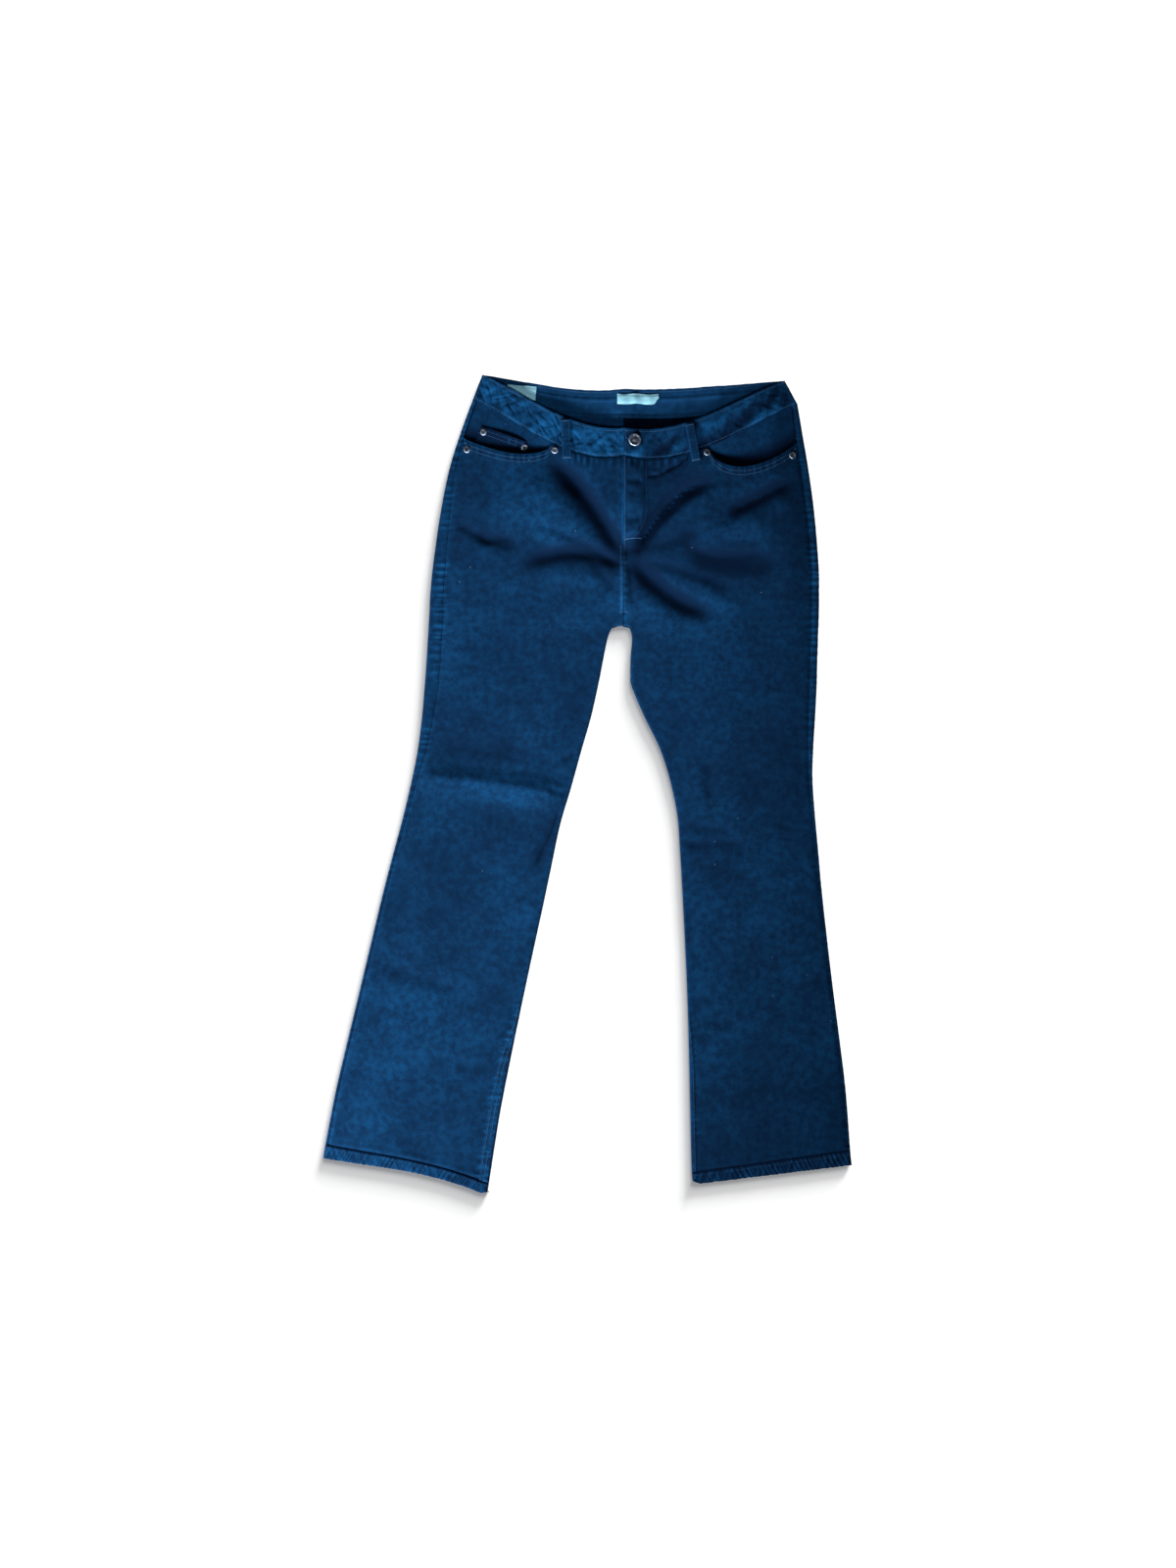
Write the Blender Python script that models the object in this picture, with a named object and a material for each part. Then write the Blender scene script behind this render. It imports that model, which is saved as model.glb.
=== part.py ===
"""Bootcut jeans laid flat on their back, front up, built from the pieces that a maker cuts and sews.

The tables are in millimetres, the meshes in metres. +X points to the wearer's left, +Y to the waist
and +Z up from the surface they lie on, which is Z = 0. "Right" and "left" are the wearer's.
"""

from collections import namedtuple
import math

import bmesh
import bpy
import numpy as np
from mathutils import Matrix, Vector
from mathutils.bvhtree import BVHTree

MM = 0.001

# Cloth and clearances
DENIM = 1.2          # one layer of denim
THIN_DENIM = 1.0     # the pieces that lie between layers are pressed thin
BAND_WALL = 2.4      # the waistband is two layers
HEM_WALL = 2.4       # the hem is turned up twice
LOOP_WALL = 1.9      # a belt loop is folded
LABEL_WALL = 0.6
SEAM_GAP = 0.3       # between pieces that are sewn edge to edge
BAND_SEAM_GAP = 0.5  # under the waistband, whose foot is curved
LAY_GAP = 0.35       # between a piece and what it lies on
BAND_PROUD = 0.5     # how far the waistband stands above the fronts
LEAST_HOLLOW = 1.6   # between a front's cloth and the back's

CENTRE_X = 49.7      # where the centre front and centre back seams run
SAG_AT = 0.62        # how far inward a row's lowest point lies

# How far in from an edge the front reaches its full height
OUTER_EASE = 50.0
INNER_EASE = 45.0
FOLD_EASE = 22.0
BAND_EASE = 20.0
ROLL_MIDDLE = 0.29   # where the middle of an edge's roll lies, as a share of its radius

# A section of a half: its outer and inner edge, how far the row sags to the hem, how far the outseam
# lies in from the outer edge on the front, how high the front rises, the roll at its edges, and the
# number of mesh rows to the next section.
Section = namedtuple("Section", "name outer_x outer_y inner_x inner_y sag seam loft roll steps")

RIGHT_LEG = [
    Section("waist",      -158.0,  528.7,   49.7,  450.4, 21.6,  5.0, 14.0, 3.6, 2),
    Section("pocket",     -174.8,  482.8,   49.7,  416.6, 12.0,  6.0, 15.0, 3.6, 2),
    Section("hip",        -190.4,  432.8,   49.7,  382.9,  5.0,  8.0, 16.0, 3.6, 2),
    Section("seat",       -203.2,  369.4,   49.7,  342.4,  1.5, 13.0, 15.0, 3.6, 3),
    Section("fork_top",   -213.3,  297.8,   49.7,  295.1,  0.0, 17.0, 13.0, 3.5, 2),
    Section("fork_mid",   -216.9,  260.0,   49.5,  261.4,  0.0, 18.0, 11.0, 3.4, 1),
    Section("fork",       -218.0,  235.7,   49.0,  238.4,  0.0, 19.0, 10.0, 3.4, 1),
    Section("lip",        -219.0,  219.5,   48.5,  220.9,  0.0, 19.0,  9.0, 3.3, 1),
    Section("crotch",     -219.6,  207.4,   48.0,  216.5,  0.0, 19.0,  9.0, 3.3, 1),
    Section("turn",       -220.3,  197.9,   35.8,  214.7,  0.0, 19.0,  8.5, 3.3, 1),
    Section("inseam",     -221.0,  184.4,   29.0,  203.3,  0.0, 19.0,  8.0, 3.3, 1),
    Section("thigh_1",    -222.6,  160.1,   24.0,  181.7,  0.0, 19.0,  7.8, 3.3, 1),
    Section("thigh_2",    -225.0,  129.1,   16.2,  141.2,  0.0, 18.5,  7.6, 3.2, 1),
    Section("thigh_3",    -228.4,   89.9,    5.4,   92.6,  0.0, 15.0,  7.4, 3.1, 1),
    Section("thigh_4",    -234.2,   45.4,   -8.1,   45.4,  0.0, 11.5,  7.0, 3.0, 2),
    Section("knee_1",     -243.0,    0.8,  -22.3,   -5.9,  0.0,  7.0,  6.8, 3.0, 3),
    Section("knee_2",     -255.2,  -50.5,  -37.8,  -58.6,  0.0,  4.5,  6.4, 3.0, 2),
    Section("knee_3",     -269.3, -103.1,  -50.6, -119.3,  0.0,  3.6,  6.2, 3.0, 1),
    Section("shin_1",     -282.2, -153.1,  -61.4, -170.6,  0.0,  3.4,  6.2, 3.0, 2),
    Section("shin_2",     -298.4, -220.6,  -77.0, -242.2,  0.0,  3.4,  6.2, 3.0, 2),
    Section("shin_3",     -315.2, -290.8,  -92.5, -315.1,  0.0,  3.4,  6.2, 3.0, 2),
    Section("shin_4",     -332.1, -361.0, -108.0, -390.7,  0.0,  3.4,  6.2, 3.0, 1),
    Section("shin_5",     -347.0, -424.4, -121.5, -460.9,  0.0,  3.4,  6.3, 3.0, 2),
    Section("hem_top",    -361.4, -498.7, -136.0, -552.0,  0.0,  3.5,  6.8, 3.2, 1),
    Section("hem_bottom", -364.6, -517.6, -137.7, -570.1, -3.5,  3.5,  6.8, 3.2, 1),
]

LEFT_LEG = [
    Section("waist",       289.6,  521.9,   49.7,  450.4, 24.0,  8.0, 14.0, 3.6, 2),
    Section("pocket",      297.4,  476.0,   49.7,  416.6, 15.0, 10.0, 15.0, 3.6, 2),
    Section("hip",         305.1,  430.1,   49.7,  382.9,  7.0, 11.0, 16.0, 3.6, 2),
    Section("seat",        313.2,  369.4,   49.7,  342.4,  3.0, 11.0, 15.0, 3.6, 3),
    Section("fork_top",    319.0,  297.8,   49.7,  295.1,  0.0, 10.5, 13.0, 3.5, 2),
    Section("fork_mid",    319.5,  262.7,   49.5,  261.4,  0.0, 10.5, 11.0, 3.4, 1),
    Section("fork",        319.4,  238.4,   49.0,  238.4,  0.0, 10.5, 10.0, 3.4, 1),
    Section("lip",         319.0,  222.2,   48.5,  220.9,  0.0, 10.5,  9.0, 3.3, 1),
    Section("crotch",      318.6,  211.4,   48.0,  216.5,  0.0, 10.5,  9.0, 3.3, 1),
    Section("turn",        318.2,  202.0,   56.7,  214.4,  0.0, 10.5,  8.5, 3.3, 1),
    Section("inseam",      317.9,  189.8,   61.4,  199.3,  0.0, 10.5,  8.0, 3.3, 1),
    Section("thigh_1",     317.1,  165.5,   59.4,  169.6,  0.0, 10.5,  7.8, 3.3, 1),
    Section("thigh_2",     316.3,  133.1,   61.0,  134.5,  0.0, 10.5,  7.6, 3.2, 1),
    Section("thigh_3",     314.3,   92.6,   77.6,   92.6,  0.0, 10.0,  7.4, 3.1, 1),
    Section("thigh_4",     311.7,   49.4,   99.2,   48.1,  0.0,  8.0,  7.0, 3.0, 2),
    Section("knee_1",      310.5,    4.9,  113.4,    4.9,  0.0,  5.5,  6.8, 3.0, 3),
    Section("knee_2",      313.9,  -45.1,  123.9,  -45.1,  0.0,  4.0,  6.4, 3.0, 2),
    Section("knee_3",      318.6,  -96.4,  127.6,  -93.7,  0.0,  3.6,  6.2, 3.0, 1),
    Section("shin_1",      322.7, -143.6,  130.3, -139.6,  0.0,  3.4,  6.2, 3.0, 2),
    Section("shin_2",      330.1, -211.1,  133.7, -204.4,  0.0,  3.4,  6.2, 3.0, 2),
    Section("shin_3",      338.2, -280.0,  137.0, -275.9,  0.0,  3.4,  6.2, 3.0, 2),
    Section("shin_4",      347.6, -352.9,  139.5, -350.2,  0.0,  3.4,  6.2, 3.0, 1),
    Section("shin_5",      356.1, -423.1,  141.1, -423.1,  0.0,  3.4,  6.3, 3.0, 2),
    Section("hem_top",     362.5, -506.8,  143.8, -537.5,  0.0,  3.5,  6.8, 3.2, 1),
    Section("hem_bottom",  364.6, -527.4,  147.2, -554.0,  0.0,  3.5,  6.8, 3.2, 1),
]

LEGS = {"right": RIGHT_LEG, "left": LEFT_LEG}
INWARD = {"right": 1.0, "left": -1.0}      # the way along X from a side to the centre
STATION = {section.name: number for number, section in enumerate(RIGHT_LEG)}

# A hem's inner corner is cut away: over this share of the leg's width, rising this much.
Corner = namedtuple("Corner", "share rise")
HEM_CORNER = {"right": Corner(0.06, 6.5), "left": Corner(0.04, 6.7)}

# The back rises higher than the front: where its rows end at the centre, and how far they sag.
BackRise = namedtuple("BackRise", "name inner_y sag")
BACK_RISE = [
    BackRise("waist", 504.0, 6.0),
    BackRise("pocket", 458.0, 4.0),
    BackRise("hip", 405.0, 2.0),
    BackRise("seat", 350.0, 1.0),
]

# The waistband's edges, from its outer end to the centre front, and how far each sags.
Edge = namedtuple("Edge", "outer_x outer_y inner_x inner_y sag")
BAND_TOP = {
    "right": Edge(-145.1, 562.5, CENTRE_X, 487.5, 16.0),
    "left": Edge(272.0, 554.3, CENTRE_X, 487.5, 18.2),
}
BACK_BAND_TOP = {
    "right": Edge(-145.1, 562.5, CENTRE_X, 543.0, 7.0),
    "left": Edge(272.0, 554.3, CENTRE_X, 543.0, 3.0),
}

# Folds and ridges of the front: a line with a bend to its left, its half width and its height.
Fold = namedtuple("Fold", "name x0 y0 x1 y1 bend width height")
FOLD_POINTS = 9
FOLDS = [
    Fold("right_whisker",     -34.0,  434.0,   46.0,  318.0,   4.0, 11.0, -8.0),
    Fold("left_whisker",      160.0,  412.0,   72.0,  326.0, -13.0,  9.0, -8.0),
    Fold("left_hip_drag",     273.0,  411.0,  200.0,  375.0,   0.0,  9.0, -3.5),
    Fold("right_seat_dip",   -150.0,  342.0, -100.0,  330.0,   0.0, 12.0, -2.5),
    Fold("right_fork_drag",   -74.0,  306.0,   40.0,  301.0,   4.0, 11.0, -4.5),
    Fold("left_fork_drag",     64.0,  303.0,  163.0,  234.0,  -6.0, 11.0, -6.0),
    Fold("left_seat_dip",     146.0,  310.0,  258.0,  303.0,  -4.0, 16.0, -3.5),
    Fold("right_hip_swell",  -120.0,  395.0,  -30.0,  350.0,   6.0, 30.0,  3.5),
    Fold("left_hip_swell",    150.0,  345.0,  250.0,  350.0,   8.0, 22.0,  3.5),
    Fold("fly_swell",          62.0,  440.0,   60.0,  345.0,   0.0, 18.0,  3.0),
    Fold("right_knee_ridge", -236.0,    8.0,  -40.0,  -17.0,   3.0, 24.0,  5.0),
    Fold("right_knee_hollow", -214.0,  52.0,  -52.0,   36.0,   3.0, 18.0, -1.2),
    Fold("right_knee_groove", -42.0,  -40.0,  -67.0, -108.0,   0.0,  7.0, -2.0),
    Fold("right_shin_drag",  -277.0, -256.0, -178.0, -285.0,   0.0, 10.0, -1.6),
    Fold("right_shin_crease", -178.0, -391.0, -133.0, -395.0,  0.0,  8.0, -1.4),
    Fold("left_knee_dent",    167.0,   28.0,  168.0,  -16.0,   0.0,  8.0, -1.8),
    Fold("left_knee_drag",    146.0,  -63.0,  197.0,  -66.0,   0.0,  8.0, -1.8),
    Fold("left_knee_crease",  135.0,  -84.0,  212.0,  -82.0,   0.0,  8.0, -1.8),
    Fold("left_shin_crease",  163.0, -330.0,  202.0, -331.0,   0.0,  8.0, -1.4),
]

# The front pockets' openings, from the outseam to the waistband's seam, and how deep they hang.
POCKET_MOUTH = {
    "right": Edge(-171.5, 474.7, -50.0, 466.0, 17.5),
    "left": Edge(287.4, 467.9, 165.4, 464.5, 32.0),
}
MOUTH_FULLNESS = 0.6     # below 1 the opening is rounder than a parabola
MOUTH_END = 0.97         # past this share of the mouth a front's top edge follows the waistband
MOUTH_ROWS = (0.0, 0.34, 0.67)    # a front's mesh rows above the hip, as shares of the way down to it
FACING_BELOW = (8.0, 40.0)        # the facing goes on under the front: at its ends, at its deepest
FACING_PAST = 1.06       # and past the mouth's inner end
FACING_CLEAR = 1.7       # under the front it leaves room for the coin pocket
FACING_SHARES = (0.0, 0.08, 0.2, 0.35, 0.5, 0.65, 0.8, 0.92, FACING_PAST)
# How far the facing lies below the front's height, from the waistband (0) by the mouth (1) to its foot (2)
FacingRow = namedtuple("FacingRow", "down sunk")
FACING_ROWS = [
    FacingRow(0.0, 1.8), FacingRow(0.49, 3.2), FacingRow(1.0, 4.2), FacingRow(1.5, 4.4), FacingRow(2.0, 4.4)
]
FACING_OVERLAP = 8.0     # of the facing and the waistband's seam, past the mouth's inner end

# The fly: the left front laps over a shield sewn to the right front.
FLY_TOP_Y = 449.4
FLY_TURN_Y = 362.6       # where the curved stitching starts to turn
FLY_FOOT_Y = 332.9
FLY_WIDTH = 31.3
FLY_LIFT = 2.7
FLY_EASE = 12.0
SHIELD_SHORT = 4.0       # of the fly's ends
SHIELD_COLUMNS = (1.0, 8.0, 18.0, 28.0)
SHIELD_FOOT_SHARE = 0.7  # its width at the foot
LAP_LENGTH = 27.0        # of the waistband's ends
LAP_COLUMNS = (6.0, 13.5, 23.0)   # of the under end, from the centre

# Back pockets, flat on the surface under the seat
POCKET_WIDTH = 140.0
POCKET_FOOT_WIDTH = 118.0
POCKET_SIDE = 128.0
POCKET_POINT = 20.0
POCKET_CORNER = 9.0
POCKET_TILT = 8.0        # degrees
POCKET_CENTRE = {"right": (-84.0, 358.0), "left": (183.4, 358.0)}
POCKET_LIFT = 1.7        # what the seat rises over a pocket
POCKET_EASE = (20.0, 45.0)
YOKE_FALL = 0.55         # how far the yoke's seam falls to the centre back, in sections

# Belt loops
LOOP_WIDTH = 12.0
BACK_LOOPS_X = (-70.0, CENTRE_X, 170.0)
BACK_LOOP_LIFT = 2.3
BACK_LOOP_EASE = (3.0, 14.0)
# A front loop's middle line, from above the waistband's top edge to below its seam
Strip = namedtuple("Strip", "x0 y0 x1 y1")
FRONT_LOOPS = {"right": Strip(-30.5, 499.5, -28.5, 444.5), "left": Strip(140.0, 493.5, 149.5, 441.5)}
LOOP_GAP = 0.8

# The coin pocket's top edge runs from its outer to its inner corner.
COIN_EDGE = Strip(-146.5, 490.9, -84.0, 468.3)
COIN_DEPTH = 31.0

# Metal
BUTTON_AT = (64.8, 470.6)
BUTTON_RADIUS = 8.5
SHANK_RADIUS = 4.2
RIVET_RADIUS = 4.7
RIVETS = {
    "rivet_pocket_right_inner": (-45.0, 457.0),
    "rivet_pocket_right_outer": (-166.0, 458.5),
    "rivet_coin_outer": (-143.0, 482.5),
    "rivet_coin_inner": (-86.5, 461.5),
    "rivet_pocket_left_inner": (164.2, 454.0),
    "rivet_pocket_left_outer": (282.0, 450.5),
}

# Labels inside the back of the waistband, both bare: middle, size and turn in degrees
Label = namedtuple("Label", "x y width height turn waves wave_height")
SIZE_LABEL = Label(-91.0, 538.0, 40.0, 19.0, -5.0, 1, 0.2)
CENTRE_LABEL = Label(69.5, 528.8, 57.0, 14.0, 0.0, 3, 1.1)

# Where mesh columns lie across a front, as shares from the outseam to the inner roll
FRONT_SHARES = (0.0, 0.06, 0.14, 0.24, 0.34, 0.44, 0.52, 0.575, 0.64, 0.73, 0.82, 0.90, 0.955, 1.0)
STRIP_SHARES = (1.0, 0.6, 0.35, 0.17)
EDGE_COLUMNS = len(STRIP_SHARES) + 2    # of the back, to where it lies on the surface
BACK_SHARES = (0.12, 0.3, 0.48, 0.66, 0.83)
HEM_OVER_SHARES = (0.1, 0.24, 0.38, 0.52, 0.66, 0.79, 0.9, 0.96)
HEM_UNDER_SHARES = (0.75, 0.5, 0.25)

# Mesh columns and rows of the waistband: from the side to the pocket, beside each back loop, and down
BAND_SHARES = (0.1, 0.25, 0.42, 0.6, 0.8)
BAND_ROWS = (0.0, 0.33, 0.67, 1.0)
BESIDE_LOOP = (-20.0, -9.0, 9.0, 20.0)
BACK_BAND_ROWS = (0.0, 0.5, 1.0)
BACK_BAND_START = 28.0
BACK_BAND_MIDDLE = 60.0

COLOURS = {
    "denim": (0.006, 0.035, 0.105),
    "inside": (0.010, 0.040, 0.110),
    "antique_metal": (0.18, 0.15, 0.13),
    "label": (0.36, 0.78, 0.85),
}


def ease(distance, full):
    """0 at no distance, 1 from `full` on, smooth between."""
    share = np.clip(distance / full, 0.0, 1.0)
    return share * share * (3.0 - 2.0 * share)


def hang(share, lowest=SAG_AT):
    """How a row sags between its ends: 0 at both, 1 where it is lowest."""
    moved = np.clip(share, 0.0, 1.0) ** (math.log(0.5) / math.log(lowest))
    return 4.0 * moved * (1.0 - moved)


def curve_through(values, station):
    """Smooth values between a table's rows."""
    last = len(values) - 1
    row = np.clip(np.floor(station).astype(int), 0, last - 1)
    part = (station - row)[..., None]
    before, here, after, beyond = (values[np.clip(row + step, 0, last)] for step in (-1, 0, 1, 2))
    return 0.5 * (
        2.0 * here
        + (after - before) * part
        + (2.0 * before - 5.0 * here + 4.0 * after - beyond) * part**2
        + (3.0 * here - before - 3.0 * after + beyond) * part**3
    )


def section_at(side, station, face="front"):
    """The section at any station, its fields as arrays."""
    table = [list(section[1:9]) for section in LEGS[side]]
    if face == "back":
        for rise in BACK_RISE:
            row = table[STATION[rise.name]]
            row[3], row[4] = rise.inner_y, rise.sag
    values = curve_through(np.array(table), np.asarray(station, float))
    return Section(None, *np.moveaxis(values, -1, 0), None)


def row_width(section):
    return np.hypot(section.inner_x - section.outer_x, section.inner_y - section.outer_y)


def step_length(name):
    """How far a section lies from the one below it."""
    here, below = RIGHT_LEG[STATION[name]], RIGHT_LEG[STATION[name] + 1]
    return math.hypot(here.outer_x - below.outer_x, here.outer_y - below.outer_y)


def mesh_rows(first, last):
    """The stations of the mesh rows from one section to another."""
    stations = []
    for number in range(STATION[first], STATION[last]):
        steps = RIGHT_LEG[number].steps
        stations += [number + step / steps for step in range(steps)]
    return np.array(stations + [float(STATION[last])])


def distance_to_line(x, y, points):
    """How far each point lies from a line of straight runs."""
    nearest = np.full(np.shape(x), 1e9)
    for (ax, ay), (bx, by) in zip(points[:-1], points[1:]):
        run = (bx - ax) ** 2 + (by - ay) ** 2
        share = np.clip(((x - ax) * (bx - ax) + (y - ay) * (by - ay)) / run, 0.0, 1.0)
        nearest = np.minimum(nearest, np.hypot(x - ax - share * (bx - ax), y - ay - share * (by - ay)))
    return nearest


def inner_edge_distance(side, x, y):
    """How far a point lies from the edge that runs from the crotch down the inseam."""
    edge = section_at(side, mesh_rows("crotch", "hem_bottom"))
    return distance_to_line(x, y, list(zip(edge.inner_x, edge.inner_y)))


def pocket_frame(side, x, y):
    """A point in a back pocket's own directions, across and up."""
    turn = math.radians(POCKET_TILT) * INWARD[side]
    dx, dy = x - POCKET_CENTRE[side][0], y - POCKET_CENTRE[side][1]
    return dx * math.cos(turn) - dy * math.sin(turn), dx * math.sin(turn) + dy * math.cos(turn)


def underside(x, y):
    """Height of the cloth's lower face: on the surface, but lifted by the back pockets."""
    lift = np.zeros(np.shape(x))
    for side in LEGS:
        across, up = pocket_frame(side, x, y)
        half_width, half_height = POCKET_WIDTH / 2, (POCKET_SIDE + POCKET_POINT) / 2
        beyond = np.maximum(np.abs(across) - half_width, np.abs(up) - half_height)
        start, end = POCKET_EASE
        lift = np.maximum(lift, POCKET_LIFT * (1.0 - ease(beyond - start, end - start)))
    return lift


def fold_heights(x, y):
    """How far the folds raise or sink the front at a place."""
    total = np.zeros(np.shape(x))
    share = np.linspace(0.0, 1.0, FOLD_POINTS)[:, None]
    for fold in FOLDS:
        run = np.array([fold.x1 - fold.x0, fold.y1 - fold.y0])
        left = np.array([-run[1], run[0]]) / np.hypot(*run)
        line = np.array([fold.x0, fold.y0]) + share * run + 4.0 * share * (1.0 - share) * fold.bend * left
        total = total + fold.height * np.exp(-((distance_to_line(x, y, line) / fold.width) ** 2))
    return total


def fly_share(x, y):
    """1 on the fly, 0 off it, from the centre front to the curved line of stitching."""
    turned = np.clip((FLY_TURN_Y - y) / (FLY_TURN_Y - FLY_FOOT_Y), 0.0, 1.0)
    reach = FLY_WIDTH * np.sqrt(1.0 - turned**2)
    across = ease(reach - (x - CENTRE_X) + FLY_EASE / 3, FLY_EASE)
    return across * ease(y - FLY_FOOT_Y, FLY_EASE) * (x > CENTRE_X)


def roll_off(distance, radius):
    """What a rolled edge falls away from the flat face beside it."""
    short = np.clip(radius - distance, 0.0, radius)
    return radius - np.sqrt(radius**2 - short**2)


def skin(side, station, distance, upper, face="front"):
    """Outer points of a half: `distance` inward from the outer edge, on its upper or lower face."""
    section = section_at(side, station, face)
    share = distance / row_width(section)
    x = section.outer_x + (section.inner_x - section.outer_x) * share
    y = section.outer_y + (section.inner_y - section.outer_y) * share - section.sag * hang(share)
    corner = HEM_CORNER[side]
    cut = np.clip((share - 1.0 + corner.share) / corner.share, 0.0, 1.0)
    y = y + corner.rise * cut * np.clip(station - STATION["hem_top"], 0.0, 1.0)
    return np.stack([x, y, skin_height(side, section, x, y, distance, upper)], axis=-1)


def skin_height(side, section, x, y, distance, upper):
    """Height of a half's outer face at a place that lies `distance` from its outer edge."""
    inner = inner_edge_distance(side, x, y)
    falls = roll_off(distance, section.roll) + roll_off(inner, section.roll)
    low = underside(x, y)
    flat = 2.0 * section.roll
    rise = (section.loft - flat) * ease(distance, OUTER_EASE) * ease(inner, INNER_EASE)
    rise = rise + fold_heights(x, y) * ease(distance, FOLD_EASE) * ease(inner, FOLD_EASE)
    high = np.maximum(flat + rise, low * ease(distance, BAND_EASE) + 2.0 * DENIM + LEAST_HOLLOW)
    if side == "left":
        high = high + FLY_LIFT * fly_share(x, y)
    return np.where(upper, high - falls, low + falls)


def edge_point(edge, share, lowest=SAG_AT, fullness=1.0):
    """A point of an edge, a share of the way from its outer end to its inner one."""
    x = edge.outer_x + (edge.inner_x - edge.outer_x) * share
    y = edge.outer_y + (edge.inner_y - edge.outer_y) * share - edge.sag * hang(share, lowest) ** fullness
    return x, y


def band_points(side, distance, down, upper=True):
    """Waistband points, `distance` inward from its outer end and a share `down` its height."""
    face = "front" if upper else "back"
    top = (BAND_TOP if upper else BACK_BAND_TOP)[side]
    section = section_at(side, 0.0, face)
    foot = Edge(section.outer_x, section.outer_y, section.inner_x, section.inner_y, section.sag)
    share = distance / row_width(section)
    top_x, top_y = edge_point(top, share)
    foot_x, foot_y = edge_point(foot, share)
    x = top_x + (foot_x - top_x) * down
    y = top_y + (foot_y - top_y) * down
    if upper:
        z = skin_height("right", section, x, y, distance, True) + BAND_PROUD * ease(distance, BAND_EASE)
        return np.stack([x, y, z], axis=-1)
    lift = np.zeros(np.shape(x))
    for loop_x in BACK_LOOPS_X:
        start, end = BACK_LOOP_EASE
        beyond = np.abs(x - loop_x) - LOOP_WIDTH / 2
        lift = np.maximum(lift, BACK_LOOP_LIFT * (1.0 - ease(beyond - start, end - start)))
    return np.stack([x, y, lift + roll_off(distance, section.roll)], axis=-1)


def material(name):
    found = bpy.data.materials.get(name)
    if found:
        return found
    made = bpy.data.materials.new(name)
    made.use_nodes = True
    shader = made.node_tree.nodes["Principled BSDF"]
    shader.inputs["Base Color"].default_value = (*COLOURS[name], 1.0)
    shader.inputs["Roughness"].default_value = 0.35 if name == "antique_metal" else 0.9
    shader.inputs["Metallic"].default_value = 1.0 if name == "antique_metal" else 0.0
    return made


def add_object(name, builder, finish):
    bmesh.ops.recalc_face_normals(builder, faces=builder.faces)
    bmesh.ops.triangulate(builder, faces=builder.faces)
    mesh = bpy.data.meshes.new(name)
    builder.to_mesh(mesh)
    builder.free()
    mesh.shade_smooth()
    mesh.set_sharp_from_angle(angle=math.radians(40))
    mesh.materials.append(material(finish))
    piece = bpy.data.objects.new(name, mesh)
    bpy.context.collection.objects.link(piece)
    return piece


def grid_normals(points, outward, ring):
    """Unit normals of a grid of points, on the side that `outward` points to."""
    rows, columns = points.shape[:2]
    cells = columns if ring else columns - 1
    normals = np.zeros(points.shape)
    for row in range(rows - 1):
        for column in range(cells):
            other = (column + 1) % columns
            corners = ((row, column), (row, other), (row + 1, other), (row + 1, column))
            a, b, c, d = (points[corner] for corner in corners)
            face = np.cross(c - a, d - b)
            face /= np.linalg.norm(face)
            for corner in corners:
                normals[corner] += face
    normals /= np.linalg.norm(normals, axis=-1, keepdims=True)
    row, column = rows // 2, columns // 2
    return normals * np.sign(np.dot(normals[row, column], outward))


def wall(name, points, thickness, outward, finish="denim", ring=False, plumb=(), level=()):
    """A closed cloth wall under a grid of its outer points.

    Its rim drops straight down at the `plumb` places and runs in level at the `level` ones.
    """
    normals = grid_normals(points, np.array(outward, float), ring)
    for place in plumb:
        normals[place] = np.sign(normals[place][..., 2:]) * UP
    for place in level:
        normals[place + (2,)] = 0.0
        normals[place] /= np.linalg.norm(normals[place], axis=-1, keepdims=True)
    inner = points - thickness * normals
    rows, columns = points.shape[:2]
    builder = bmesh.new()
    outside, inside = (
        [[builder.verts.new(Vector(point) * MM) for point in row] for row in layer]
        for layer in (points, inner)
    )
    cells = columns if ring else columns - 1
    pairs = [(column, (column + 1) % columns) for column in range(cells)]
    for layer in (outside, inside):
        for above, below in zip(layer[:-1], layer[1:]):
            for here, there in pairs:
                builder.faces.new((above[here], above[there], below[there], below[here]))
    for row in (0, rows - 1):
        for here, there in pairs:
            rim = (outside[row][here], outside[row][there], inside[row][there], inside[row][here])
            builder.faces.new(rim)
    if not ring:
        for end in (0, columns - 1):
            for row in range(rows - 1):
                out_side = (outside[row][end], outside[row + 1][end])
                in_side = (inside[row + 1][end], inside[row][end])
                builder.faces.new(out_side + in_side)
    return add_object(name, builder, finish)


UP, DOWN = (0.0, 0.0, 1.0), (0.0, 0.0, -1.0)
FAR = 200.0          # well above or below every piece


def front_distances(section):
    """Column positions across a front: shares of its width, then round the inner edge's roll."""
    width = row_width(section)
    start = section.seam + SEAM_GAP
    columns = [start + share * (width - section.roll - start) for share in FRONT_SHARES]
    columns += [width - ROLL_MIDDLE * section.roll, width]
    return np.stack(columns, axis=-1)


def part_at_inner_edge(side, points, stations, rise):
    """Keep a seam's gap at the centre above the crotch, and at the edge below it."""
    below = stations >= STATION["crotch"]
    points[:, -1, 2] += np.where(below, rise, 0.0)
    points[:, -1, 0] -= INWARD[side] * SEAM_GAP / 2
    return points


def band_foot(side, upper=True):
    """The lower edge of the waistband as its mesh has it."""
    points = (waistband_front_points(side) if upper else waistband_back_points())[-1]
    order = np.argsort(points[:, 0])
    return points[order, 0], points[order, 1]


def front_top_x(side):
    """Where a front's columns meet its top edge, and how far along the pocket's mouth that is."""
    distances = front_distances(section_at(side, float(STATION["hip"])))
    share = (distances - distances[0]) / (distances[-1] - distances[0])
    mouth = POCKET_MOUTH[side]
    x = mouth.outer_x + share * (CENTRE_X - mouth.outer_x)
    return x, (x - mouth.outer_x) / (mouth.inner_x - mouth.outer_x)


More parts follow.
